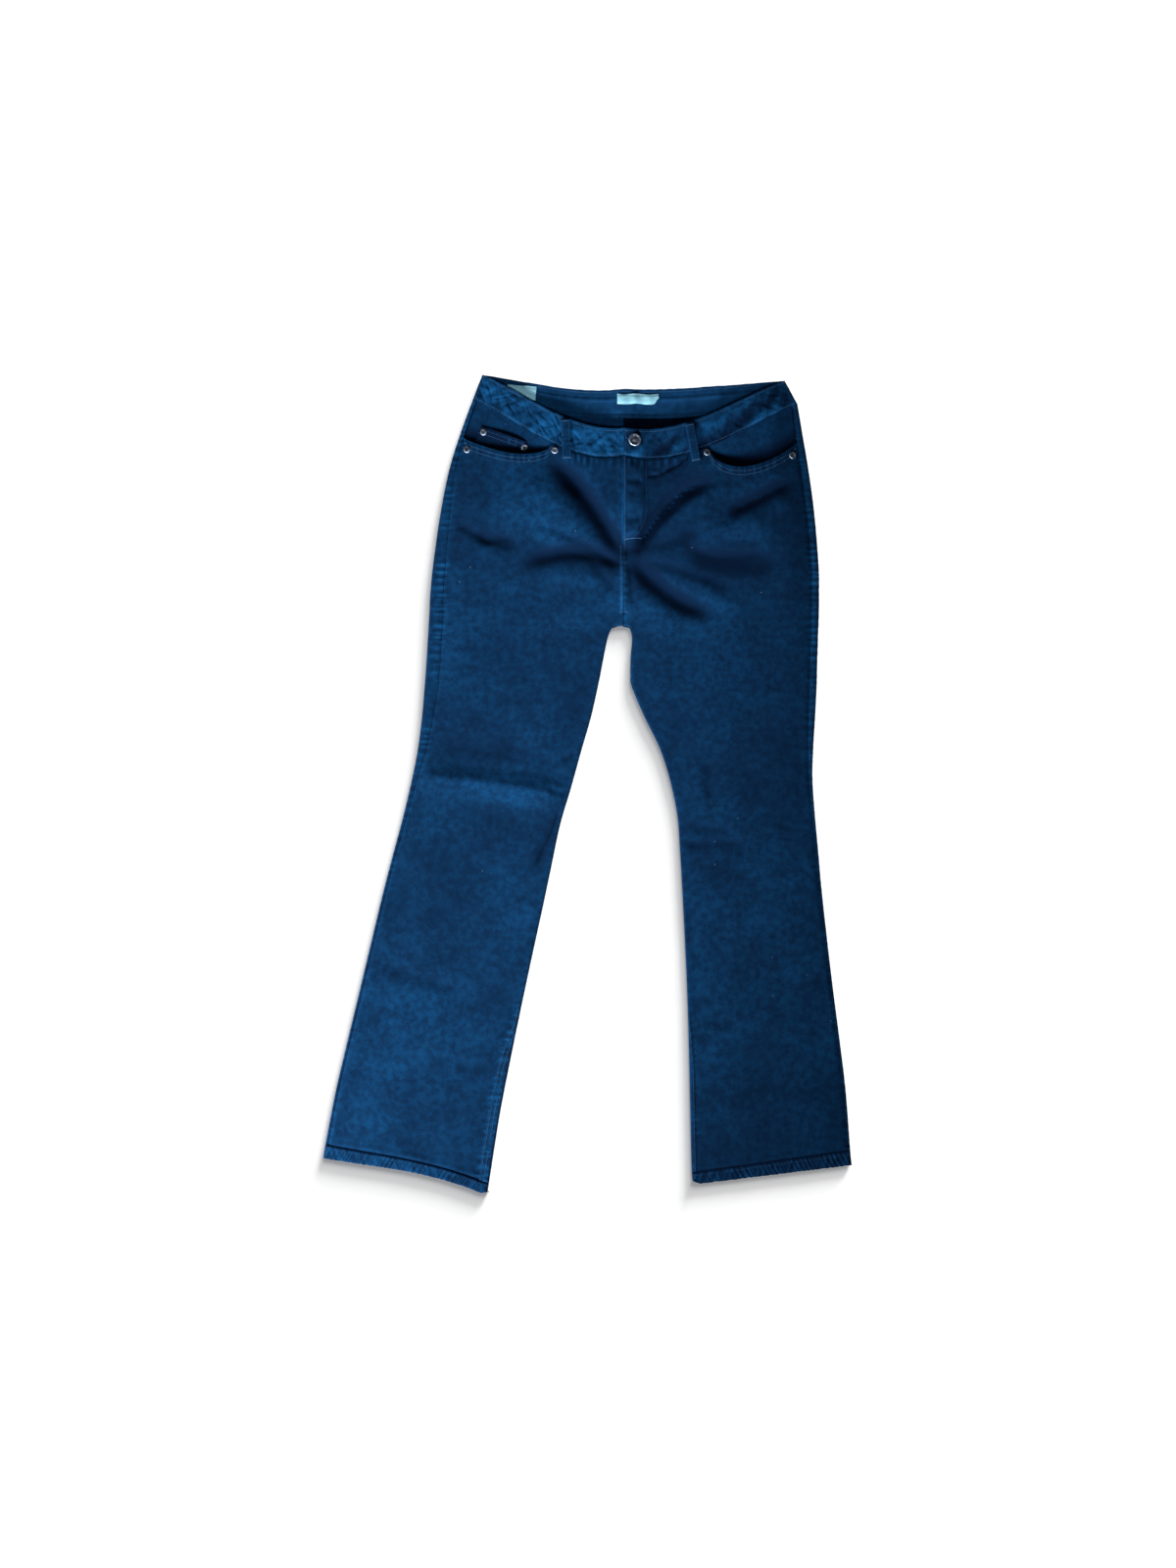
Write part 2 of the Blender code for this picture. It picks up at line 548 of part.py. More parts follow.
def front_panel(side):
    """A front: its top edge follows the pocket's mouth and then the waistband's seam."""
    stations = mesh_rows("hip", "hem_top")
    stations[-1] -= SEAM_GAP / step_length("shin_5")
    section = section_at(side, stations)
    distances = front_distances(section)
    body = skin(side, np.broadcast_to(stations[:, None], distances.shape), distances, True)
    body = part_at_inner_edge(side, body, stations, SEAM_GAP / 2)

    x, mouth_share = front_top_x(side)
    x[-1] -= INWARD[side] * SEAM_GAP / 2
    share = (x - x[0]) / (x[-1] - x[0])
    mouth_y = edge_point(POCKET_MOUTH[side], np.clip(mouth_share, 0.0, 1.0), fullness=MOUTH_FULLNESS)[1]
    seam_y = np.interp(x, *band_foot(side)) - BAND_SEAM_GAP
    y = np.where(mouth_share < 1.0, np.minimum(mouth_y, seam_y), seam_y)

    side_stations = np.linspace(STATION["waist"], STATION["hip"], 21)
    side_section = section_at(side, side_stations)
    side_seam = skin(side, side_stations, side_section.seam + 2.0 * SEAM_GAP, np.array(True), "back")
    top_rows = []
    for part in MOUTH_ROWS:
        row_x = x + part * (body[0, :, 0] - x)
        row_y = y + part * (body[0, :, 1] - y)
        seam_x = np.interp(-row_y[0], -side_seam[:, 1], side_seam[:, 0])
        row_x = row_x + (seam_x - row_x[0]) * (1.0 - share) ** 3
        edge_x = np.interp(-row_y, -side_section.outer_y, side_section.outer_x)
        row_z = skin_height(side, section_at(side, 1.0 + part), row_x, row_y, np.abs(row_x - edge_x), True)
        top_rows.append(np.stack([row_x, row_y, row_z], axis=-1))
    points = np.concatenate([np.array(top_rows), body])
    edge_rows = slice(len(top_rows) + int(np.argmax(stations >= STATION["crotch"])), None)
    return wall(f"front_{side}", points, DENIM, UP, plumb=[(0, slice(None))], level=[(edge_rows, -1)])


def back_columns(section):
    """Column positions round the back: from the outseam on the front, round the edge and across."""
    quarter = math.pi / 2 * section.roll
    reach = quarter + section.seam - section.roll - SEAM_GAP
    distances, upper = [], []
    for share in STRIP_SHARES:
        arc = reach * share
        angle = np.minimum(arc / section.roll, math.pi / 2)
        distances.append(section.roll * (1.0 - np.cos(angle)) + np.maximum(arc - quarter, 0.0))
        upper.append(True)
    width = row_width(section)
    lower = [np.zeros_like(width), ROLL_MIDDLE * section.roll, section.roll]
    lower += [section.roll + share * (width - 2.0 * section.roll) for share in BACK_SHARES]
    lower += [width - section.roll, width - ROLL_MIDDLE * section.roll, width]
    return np.stack(distances + lower, axis=-1), np.array(upper + [False] * len(lower))


def yoke_seam_station():
    """The yoke's lower seam, by column: level round the side, then falling to the centre back."""
    inward = np.clip(np.arange(back_column_count()) - EDGE_COLUMNS, 0, None)
    return STATION["pocket"] + YOKE_FALL * inward / inward.max()


def back_grid(side, stations):
    """The back's outer points at the stations, one for each row and column."""
    section = section_at(side, stations, "back")
    distances, upper = back_columns(section)
    column = np.arange(distances.shape[-1])
    own = distances[:, column, column]
    over = skin(side, stations, own, True, "front")
    under = skin(side, stations, own, False, "back")
    points = np.where(upper[:, None], over, under)
    return part_at_inner_edge(side, points, stations[:, -1], -SEAM_GAP / 2)


def back_column_count():
    return len(STRIP_SHARES) + 3 + len(BACK_SHARES) + 3


def yoke(side):
    """The shaped strip between the waistband and a back panel."""
    seam = yoke_seam_station()
    start = 2.0 * BAND_SEAM_GAP / step_length("waist")
    stations = np.array([start + (seam - start) * part for part in BAND_ROWS])
    points = back_grid(side, stations)
    foot = np.interp(points[0, :, 0], *band_foot(side, upper=False)) - 2.0 * BAND_SEAM_GAP
    flat = slice(len(STRIP_SHARES), None)
    points[0, flat, 1] = np.minimum(points[0, flat, 1], foot[flat])
    return wall(f"yoke_{side}", points, DENIM, DOWN)


def back_points(side):
    """Outer points of a back, from the outseam on the front, round the edge and across below."""
    seam = yoke_seam_station() + SEAM_GAP / step_length("waist")
    joined = float(STATION["seat"])
    upper_rows = [seam + (joined - seam) * part for part in (0.0, 0.25, 0.5, 0.75)]
    lower = mesh_rows("seat", "hem_top")
    lower[-1] -= SEAM_GAP / step_length("shin_5")
    stations = np.array(upper_rows + [np.full(seam.shape, station) for station in lower])
    edge_rows = slice(int(np.argmax(stations[:, -1] >= STATION["crotch"])), None)
    return back_grid(side, stations), edge_rows


def back_panel(side):
    """The part of a back that lies on the surface, with the roll at its inner edge."""
    points, edge_rows = back_points(side)
    points = points[:, EDGE_COLUMNS:]
    points[:, 0, 0] += INWARD[side] * SEAM_GAP
    return wall(f"back_{side}", points, DENIM, DOWN, plumb=[(slice(None), 0)], level=[(edge_rows, -1)])


def outseam(side):
    """The back's outer edge, which goes round to the front and carries the outseam."""
    points = back_points(side)[0][:, :EDGE_COLUMNS + 1]
    away = (-INWARD[side], 0.0, 0.0)
    return wall(f"outseam_{side}", points, DENIM, away, plumb=[(slice(None), -1)])


def waistband_front_points(side):
    """Outer points of a front half of the waistband. The left one laps over the end of the right one.

    Past the pocket its columns stand on the front's own, so that the two edges match.
    """
    section = section_at(side, 0.0)
    length, roll = float(row_width(section)), float(section.roll)
    top_x, mouth_share = front_top_x(side)
    matched_x = top_x[mouth_share > MOUTH_END]
    matched = list((matched_x - section.outer_x) / (section.inner_x - section.outer_x) * length)
    between = [roll + share * (matched[0] - roll) for share in BAND_SHARES]
    distances = np.array([0.0, ROLL_MIDDLE * roll, roll] + between + matched)
    down = np.array(BAND_ROWS)[:, None]
    points = band_points(side, distances[None, :], down)
    if side == "left":
        points[..., 2] += FLY_LIFT * ease(distances - length + LAP_LENGTH + FLY_EASE, FLY_EASE)
    else:
        left_length = float(row_width(section_at("left", 0.0)))
        lap = left_length - np.array(LAP_COLUMNS)
        under = band_points("left", lap[None, :], down)
        under[..., 2] -= LAY_GAP
        points[:, -1, 0] -= SEAM_GAP
        points = np.concatenate([points, under], axis=1)
    points[:, 0, 2] += SEAM_GAP / 2
    return points


def waistband_front(side):
    points = waistband_front_points(side)
    foot, end = (-1, slice(1, None)), (slice(None), 0)
    return wall(f"waistband_{side}", points, BAND_WALL, UP, plumb=[foot], level=[end])


def waistband_back_points():
    """Outer points of the back of the waistband, from one side edge to the other."""
    roll = RIGHT_LEG[0].roll
    down = np.array(BACK_BAND_ROWS)[:, None]
    loop_columns = [loop_x + step for loop_x in BACK_LOOPS_X for step in BESIDE_LOOP]
    start = (0.0, ROLL_MIDDLE * roll, roll, BACK_BAND_START)
    halves = []
    for side in ("right", "left"):
        section = section_at(side, 0.0, "back")
        length = float(row_width(section))
        rolled = np.broadcast_to(np.array(start), (len(BACK_BAND_ROWS), len(start)))
        top = BACK_BAND_TOP[side]
        outer_x = top.outer_x + (section.outer_x - top.outer_x) * down
        own = [x for x in loop_columns if (CENTRE_X - x) * INWARD[side] > 0.0]
        own.append(CENTRE_X - BACK_BAND_MIDDLE * INWARD[side])
        own.sort(key=lambda x: x * INWARD[side])
        straight = (np.array(own)[None, :] - outer_x) / (CENTRE_X - outer_x) * length
        distances = np.concatenate([rolled, straight], axis=1)
        halves.append(band_points(side, distances, down, upper=False))
    points = np.concatenate([halves[0], halves[1][:, ::-1]], axis=1)
    points[:, (0, -1), 2] -= SEAM_GAP / 2
    return points


def waistband_back():
    ends = [(slice(None), 0), (slice(None), -1)]
    return wall("waistband_back", waistband_back_points(), BAND_WALL, DOWN, level=ends)


def hem(side):
    """The turned-up hem, a flat ring round the leg's end."""
    stations = np.array([STATION["hem_top"], STATION["hem_bottom"]], float)
    section = section_at(side, stations)
    width, roll = row_width(section), section.roll
    over = [0.0 * roll, ROLL_MIDDLE * roll, roll]
    over += [roll + share * (width - 2.0 * roll) for share in HEM_OVER_SHARES]
    over += [width - roll, width - ROLL_MIDDLE * roll, width]
    under = [width - ROLL_MIDDLE * roll, width - roll]
    under += [roll + share * (width - 2.0 * roll) for share in HEM_UNDER_SHARES]
    under += [roll, ROLL_MIDDLE * roll]
    distances = np.stack(over + under, axis=-1)
    upper = np.array([True] * len(over) + [False] * len(under))
    grid = np.broadcast_to(stations[:, None], distances.shape)
    points = skin(side, grid, distances, np.broadcast_to(upper, grid.shape))
    return wall(f"hem_{side}", points, HEM_WALL, UP, ring=True)


def pocket_facing(side, front):
    """The facing that shows in a front pocket's mouth and goes on down inside it."""
    mouth = POCKET_MOUTH[side]
    top = section_at(side, 0.0)
    share = np.array(FACING_SHARES)
    mouth_x, mouth_y = edge_point(mouth, share, fullness=MOUTH_FULLNESS)
    start_x = top.outer_x + INWARD[side] * (top.seam + 2.0 * SEAM_GAP)
    seam_x = start_x + (mouth.inner_x + FACING_OVERLAP * INWARD[side] - start_x) * share / FACING_PAST
    seam_y = np.interp(seam_x, *band_foot(side)) - 2.0 * BAND_SEAM_GAP
    mouth_y = np.minimum(mouth_y, np.interp(mouth_x, *band_foot(side)) - FACING_OVERLAP)
    ends, deepest = FACING_BELOW
    foot_y = mouth_y - ends - (deepest - ends) * hang(share / FACING_PAST, 1.0 - SAG_AT)
    heights = [row.outer_y for row in LEGS[side][:STATION["hip"] + 1]]
    points = []
    for row in FACING_ROWS:
        above, below = min(row.down, 1.0), max(row.down - 1.0, 0.0)
        x = seam_x + above * (mouth_x - seam_x)
        y = seam_y + above * (mouth_y - seam_y) + below * (foot_y - mouth_y)
        section = section_at(side, np.interp(y, heights[::-1], np.arange(len(heights))[::-1]))
        outer = np.abs(x - section.outer_x)
        z = skin_height(side, section, x, y, outer, True) - row.sunk
        lowest = [under_at(front, px, py, 5.0) - FACING_CLEAR for px, py in zip(x, y)]
        points.append(np.stack([x, y, np.minimum(z, lowest)], axis=-1))
    return wall(f"pocket_facing_{side}", np.array(points), DENIM, UP, plumb=[(0, slice(None))])


def fly_shield(lapped):
    """The strip sewn to the right front, under the lap of the left front and its waistband."""
    points = []
    for y in np.linspace(FLY_TOP_Y - SHIELD_SHORT, FLY_FOOT_Y + SHIELD_SHORT, 10):
        narrowed = ease(y - FLY_FOOT_Y, FLY_TURN_Y - FLY_FOOT_Y)
        across = np.array(SHIELD_COLUMNS) * (SHIELD_FOOT_SHARE + (1.0 - SHIELD_FOOT_SHARE) * narrowed)
        points.append([(CENTRE_X + a, y, under_at(lapped, CENTRE_X + a, y, 6.0) - LAY_GAP) for a in across])
    return wall("fly_shield", np.array(points), THIN_DENIM, UP)


def surface_of(pieces):
    """A ray-cast tree of pieces already made, in millimetres, to lay others on them."""
    vertices, polygons = [], []
    for piece in pieces:
        start = len(vertices)
        vertices += [vertex.co / MM for vertex in piece.data.vertices]
        polygons += [[start + index for index in polygon.vertices] for polygon in piece.data.polygons]
    return BVHTree.FromPolygons(vertices, polygons)


def places_round(x, y, reach):
    """A place and eight more round it."""
    turns = [step * math.pi / 4 for step in range(8)] if reach else []
    return [(x, y)] + [(x + reach * math.cos(turn), y + reach * math.sin(turn)) for turn in turns]


def top_at(tree, x, y, reach=0.0):
    """Highest point of the pieces at a place, or within `reach` of it."""
    starts = [Vector((px, py, FAR)) for px, py in places_round(x, y, reach)]
    found = [tree.ray_cast(start, Vector(DOWN))[0] for start in starts]
    return max((hit.z for hit in found if hit), default=0.0)


def under_at(tree, x, y, reach):
    """Lowest point of the pieces at a place or within `reach` of it, or far up where there is none."""
    starts = [Vector((px, py, -FAR)) for px, py in places_round(x, y, reach)]
    found = [tree.ray_cast(start, Vector(UP))[0] for start in starts]
    return min((hit.z for hit in found if hit), default=FAR)


def laid_strip(name, tree, strip, width, length_cells, thickness, reach, gap=LAY_GAP, across_cells=2):
    """A strip of cloth that lies on pieces already made, along a line."""
    along = np.array([strip.x1 - strip.x0, strip.y1 - strip.y0])
    across = np.array([-along[1], along[0]]) / np.hypot(*along)
    points = []
    for share in np.linspace(0.0, 1.0, length_cells + 1):
        row = []
        for side in np.linspace(-0.5, 0.5, across_cells + 1):
            x, y = np.array([strip.x0, strip.y0]) + share * along + side * width * across
            row.append((x, y, top_at(tree, x, y, reach) + gap + thickness))
        points.append(row)
    return wall(name, np.array(points), thickness, UP)


def back_loop(number, x):
    """A belt loop on the back, flat on the surface under the waistband."""
    side = "right" if x < CENTRE_X else "left"
    length = abs(x - LEGS[side][0].outer_x)
    top = band_points(side, np.array(length), np.array(0.04), upper=False)[1]
    foot = band_points(side, np.array(length), np.array(0.96), upper=False)[1]
    edges = (x - LOOP_WIDTH / 2, x + LOOP_WIDTH / 2)
    points = np.array([[(edge, y, 0.0) for edge in edges] for y in (top, foot)])
    return wall(f"belt_loop_back_{number}", points, LOOP_WALL, DOWN)


def back_pocket(side):
    """A plain patch pocket, flat on the surface under the seat."""
    half, foot, side_up = POCKET_WIDTH / 2, POCKET_FOOT_WIDTH / 2, POCKET_SIDE / 2
    right_edge = [(half, side_up), (foot, -side_up + POCKET_CORNER), (foot - POCKET_CORNER, -side_up)]
    left_edge = [(-x, y) for x, y in reversed(right_edge)]
    corners = right_edge + [(0.0, -side_up - POCKET_POINT)] + left_edge
    turn = math.radians(POCKET_TILT) * INWARD[side]
    builder = bmesh.new()
    layers = []
    for z in (0.0, DENIM):
        layer = []
        for x, y in corners:
            px = POCKET_CENTRE[side][0] + x * math.cos(turn) + (y + POCKET_POINT / 2) * math.sin(turn)
            py = POCKET_CENTRE[side][1] - x * math.sin(turn) + (y + POCKET_POINT / 2) * math.cos(turn)
            layer.append(builder.verts.new(Vector((px, py, z)) * MM))
        builder.faces.new(layer)
        layers.append(layer)
    for number in range(len(corners)):
        other = (number + 1) % len(corners)
        builder.faces.new((layers[0][number], layers[0][other], layers[1][other], layers[1][number]))
    return add_object(f"back_pocket_{side}", builder, "denim")


def turned(name, profile, sides, place, normal):
    """A closed turned piece from (radius, height) points, standing on a surface."""
    builder = bmesh.new()
    rings = []
    for radius, height in profile:
        if radius == 0.0:
            rings.append([builder.verts.new((0.0, 0.0, height * MM))])
            continue
        turns = [2.0 * math.pi * step / sides for step in range(sides)]
        circle = [Vector((radius * math.cos(turn), radius * math.sin(turn), height)) for turn in turns]
        rings.append([builder.verts.new(point * MM) for point in circle])
    for low, high in zip(rings[:-1], rings[1:]):
        for step in range(sides):
            other = (step + 1) % sides
            places = ((low, step), (low, other), (high, other), (high, step))
            corners = [ring[at % len(ring)] for ring, at in places]
            builder.faces.new(list(dict.fromkeys(corners)))
    turn = Vector((0, 0, 1)).rotation_difference(normal).to_matrix().to_4x4()
    bmesh.ops.transform(builder, matrix=Matrix.Translation(Vector(place) * MM) @ turn, verts=builder.verts)
    return add_object(name, builder, "antique_metal")


def seat_of(tree, x, y, radius):
    """Where a round piece of this radius stands clear of the cloth, and the way it faces."""
    rim = places_round(x, y, radius)[1:]
    heights = [top_at(tree, px, py) for px, py in rim]
    slope_x = sum((px - x) * height for (px, _), height in zip(rim, heights)) / (4.0 * radius**2)
    slope_y = sum((py - y) * height for (_, py), height in zip(rim, heights)) / (4.0 * radius**2)
    middle = top_at(tree, x, y)
    for (px, py), height in zip(rim, heights):
        middle = max(middle, height - slope_x * (px - x) - slope_y * (py - y))
    return (x, y, middle + LAY_GAP), Vector((-slope_x, -slope_y, 1.0)).normalized()


def rivet(name, tree, place):
    """A domed rivet with a dimple in its middle."""
    profile = [(0.0, 0.0), (4.2, 0.0), (RIVET_RADIUS, 0.5), (4.0, 1.2), (2.6, 1.5), (1.7, 1.1), (0.0, 1.3)]
    seat, normal = seat_of(tree, *place, RIVET_RADIUS)
    return turned(name, profile, 12, seat, normal)


def button(tree):
    """The waist button: a shank and a dished head with a raised rim."""
    rim = BUTTON_RADIUS
    profile = [(0.0, 0.0), (SHANK_RADIUS, 0.0), (SHANK_RADIUS - 0.4, 1.4), (rim - 0.8, 1.5), (rim, 2.2)]
    profile += [(rim - 0.3, 3.3), (rim - 1.4, 3.9), (rim - 2.6, 3.4), (2.5, 3.3), (0.0, 3.7)]
    seat, normal = seat_of(tree, *BUTTON_AT, SHANK_RADIUS)
    return turned("button", profile, 20, seat, normal)


def label(name, tree, spec, cells):
    """A woven label inside the back of the waistband, a little wavy across."""
    turn = math.radians(spec.turn)
    points = []
    for up in (0.5, 0.0, -0.5):
        row = []
        for share in np.linspace(-0.5, 0.5, cells + 1):
            across, rise = share * spec.width, up * spec.height
            x = spec.x + across * math.cos(turn) - rise * math.sin(turn)
            y = spec.y + across * math.sin(turn) + rise * math.cos(turn)
            wave = 1.0 - math.cos(2.0 * math.pi * spec.waves * (share + 0.5))
            lift = spec.wave_height * wave * (0.5 - up)
            row.append((x, y, top_at(tree, x, y, 3.0) + LAY_GAP + LABEL_WALL + lift))
        points.append(row)
    return wall(name, np.array(points), LABEL_WALL, UP, "label")


def main():
    """Build the pieces, each after what it lies on."""
    for old in list(bpy.data.objects):
        bpy.data.objects.remove(old, do_unlink=True)
    pieces = {}
    for side in LEGS:
        for make in (front_panel, back_panel, outseam, yoke, hem, waistband_front, back_pocket):
            piece = make(side)
            pieces[piece.name] = piece
        piece = pocket_facing(side, surface_of([pieces[f"front_{side}"]]))
        pieces[piece.name] = piece
    back = waistband_back()
    fly_shield(surface_of([pieces["front_left"], pieces["waistband_right"]]))
    for number, x in enumerate(BACK_LOOPS_X, 1):
        back_loop(number, x)

    coin_across = np.array([COIN_EDGE.x1 - COIN_EDGE.x0, COIN_EDGE.y1 - COIN_EDGE.y0])
    coin_down = np.array([coin_across[1], -coin_across[0]]) / np.hypot(*coin_across)
    middle = np.array([COIN_EDGE.x0 + COIN_EDGE.x1, COIN_EDGE.y0 + COIN_EDGE.y1]) / 2.0
    coin_line = Strip(*middle, *(middle + COIN_DEPTH * coin_down))
    facing = surface_of([pieces["pocket_facing_right"]])
    coin_width = float(np.hypot(*coin_across))
    coin = laid_strip("coin_pocket", facing, coin_line, coin_width, 3, THIN_DENIM, 3.0, across_cells=4)

    tops = [pieces[f"{kind}_{side}"] for kind in ("front", "waistband") for side in LEGS]
    cloth = surface_of(tops)
    for side in LEGS:
        line = FRONT_LOOPS[side]
        laid_strip(f"belt_loop_front_{side}", cloth, line, LOOP_WIDTH, 8, LOOP_WALL, 4.0, LOOP_GAP)
    inside = surface_of([back])
    label("label_size", inside, SIZE_LABEL, 4)
    label("label_centre", inside, CENTRE_LABEL, 14)
    over = surface_of(tops + [coin, pieces["pocket_facing_right"], pieces["pocket_facing_left"]])
    for name, place in RIVETS.items():
        rivet(name, over, place)
    button(over)


main()
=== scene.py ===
"""Bootcut jeans laid flat on their back, front up: how they look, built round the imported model.

Tables are in millimetres, meshes in metres. +X points to the wearer's left, +Y to the waist and +Z up
from the surface that the jeans lie on. "Right" and "left" are the wearer's.
"""

from collections import namedtuple
import math

import bpy
import numpy as np
from mathutils import Matrix, Vector
from mathutils.bvhtree import BVHTree


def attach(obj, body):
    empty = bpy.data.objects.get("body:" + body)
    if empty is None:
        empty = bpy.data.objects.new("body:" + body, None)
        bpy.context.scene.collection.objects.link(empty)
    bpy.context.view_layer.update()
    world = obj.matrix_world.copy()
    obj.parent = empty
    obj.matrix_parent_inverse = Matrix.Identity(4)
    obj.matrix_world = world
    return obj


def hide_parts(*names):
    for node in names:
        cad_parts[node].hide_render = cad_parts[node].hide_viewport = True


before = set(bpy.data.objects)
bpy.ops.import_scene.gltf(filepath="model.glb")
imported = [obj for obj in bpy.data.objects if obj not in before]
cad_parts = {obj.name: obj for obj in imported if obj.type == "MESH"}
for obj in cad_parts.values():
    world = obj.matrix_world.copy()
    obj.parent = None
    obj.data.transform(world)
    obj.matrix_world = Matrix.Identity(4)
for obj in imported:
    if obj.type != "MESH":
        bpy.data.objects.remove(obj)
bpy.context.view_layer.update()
MM = 0.001


# ------------------------------------------------------------------------------------------------
# The camera looks straight down on the jeans from 3 m. They lie on a white surface, between a soft
# lamp low beside the right knee and a spot beyond the hems, whose light rakes across the folds. The
# surface has two suns of its own, so that it stays white but for a soft shadow beside the cloth.
IMAGE = (1200, 1600)
PIXEL = 1.35                       # millimetres in one pixel of the image
ORIGIN_PIXEL = (599.5, 798.6)      # where the jeans' origin lies in the image
LENS = 50.0
SENSOR = 36.0
MEAN_HEIGHT = 8.0                  # of the cloth that the camera sees


def add_object(name, data):
    """An object with this data, in the scene."""
    made = bpy.data.objects.new(name, data)
    bpy.context.scene.collection.objects.link(made)
    return made


def add_node(tree, kind, inputs=(), **settings):
    """A node with these settings. Each (input, value) is a socket to link from or a constant."""
    made = tree.nodes.new(kind)
    for label, value in settings.items():
        setattr(made, label, value)
    for place, value in inputs:
        if isinstance(value, bpy.types.NodeSocket):
            tree.links.new(value, made.inputs[place])
        else:
            made.inputs[place].default_value = value
    return made


def add_material(name, **constants):
    """A material whose Principled node has these constants. Returns it, its tree and that node."""
    made = bpy.data.materials.new(name)
    made.use_nodes = True
    shader = made.node_tree.nodes["Principled BSDF"]
    for label, value in constants.items():
        shader.inputs[label.replace("_", " ")].default_value = value
    return made, made.node_tree, shader


eye = bpy.data.cameras.new("camera")
eye.lens = LENS
eye.sensor_width = SENSOR
camera = add_object("camera", eye)
camera.location = (
    (IMAGE[0] / 2 - ORIGIN_PIXEL[0]) * PIXEL * MM,
    (ORIGIN_PIXEL[1] - IMAGE[1] / 2) * PIXEL * MM,
    (IMAGE[1] * PIXEL * LENS / SENSOR + MEAN_HEIGHT) * MM,
)
bpy.context.scene.camera = camera
bpy.context.scene.view_settings.view_transform = "Standard"

FLOOR_DROP = 0.9        # below the solids, in millimetres, so that it clears the cloth's fine relief
FLOOR_REACH = 6.0
FLOOR_GLOW = 0.27       # a light of its own, which keeps it white

floor_mesh = bpy.data.meshes.new("floor")
floor_corners = [(x * FLOOR_REACH, y * FLOOR_REACH, -FLOOR_DROP * MM) for x, y in
                 ((-1, -1), (1, -1), (1, 1), (-1, 1))]
floor_mesh.from_pydata(floor_corners, [], [(0, 1, 2, 3)])
floor = add_object("floor", floor_mesh)

paper = add_material(
    "white_surface", Base_Color=(0.9, 0.9, 0.9, 1.0), Roughness=0.9, Specular_IOR_Level=0.0,
    Emission_Color=(1.0, 1.0, 1.0, 1.0), Emission_Strength=FLOOR_GLOW,
)[0]
floor_mesh.materials.append(paper)

world = bpy.data.worlds.new("white_room")
bpy.context.scene.world = world
world.use_nodes = True
room = world.node_tree
room_shader = room.nodes["Background"]
room_shader.inputs["Color"].default_value = (0.86, 0.93, 1.0, 1.0)
room_sight = add_node(room, "ShaderNodeLightPath")
room_glow = add_node(room, "ShaderNodeMapRange", [
    ("Value", room_sight.outputs["Is Camera Ray"]),
    ("To Min", 0.045),    # what it adds to the light on the cloth
    ("To Max", 1.0),      # how it looks itself
])
room.links.new(room_glow.outputs["Result"], room_shader.inputs["Strength"])

Lamp = namedtuple("Lamp", "name kind place aim size power lights")
LAMPS = [
    Lamp("side_lamp", "AREA", (-1.15, -0.82, 0.64), (-0.10, 0.10, 0.0), 0.7, 36.0, "cloth"),
    Lamp("foot_lamp", "SPOT", (0.05, -1.85, 1.00), (-0.02, 0.48, 0.0), 0.25, 290.0, "cloth"),
    Lamp("inside_lamp", "AREA", (0.06, 0.12, 0.75), (0.05, 0.53, 0.0), 0.14, 2.5, "inside"),
    Lamp("low_floor_sun", "SUN", (0.5, 1.0, 0.18), (0.0, 0.0, 0.0), math.radians(22), 10.4, "floor"),
    Lamp("high_floor_sun", "SUN", (0.4, 1.0, 0.72), (0.0, 0.0, 0.0), math.radians(40), 2.15, "floor"),
]
FOOT_CONE = math.radians(22)      # how wide the spot at the foot spreads
lit = {}
for lamp in LAMPS:
    glow = bpy.data.lights.new(lamp.name, lamp.kind)
    if lamp.kind == "SUN":
        glow.angle = lamp.size
    elif lamp.kind == "SPOT":
        glow.shadow_soft_size = lamp.size
        glow.spot_size, glow.spot_blend = FOOT_CONE, 1.0
    else:
        glow.size = lamp.size
    glow.energy = lamp.power
    holder = add_object(lamp.name, glow)
    holder.location = lamp.place
    direction = Vector(lamp.aim) - Vector(lamp.place)
    holder.rotation_euler = direction.to_track_quat("-Z", "Y").to_euler()
    lit[lamp.lights] = holder.light_linking.receiver_collection = bpy.data.collections.new(lamp.name)
    if lamp.lights != "inside":
        lit[lamp.lights].objects.link(floor)
        state = "INCLUDE" if lamp.lights == "floor" else "EXCLUDE"
        lit[lamp.lights].collection_objects[0].light_linking.link_state = state


# ------------------------------------------------------------------------------------------------
# Backs: heavy indigo denim twill, one layer. Each is cut to go round both edges of its leg, so the
# outseam shows a little way in on the front, and the two are felled together up the centre back.

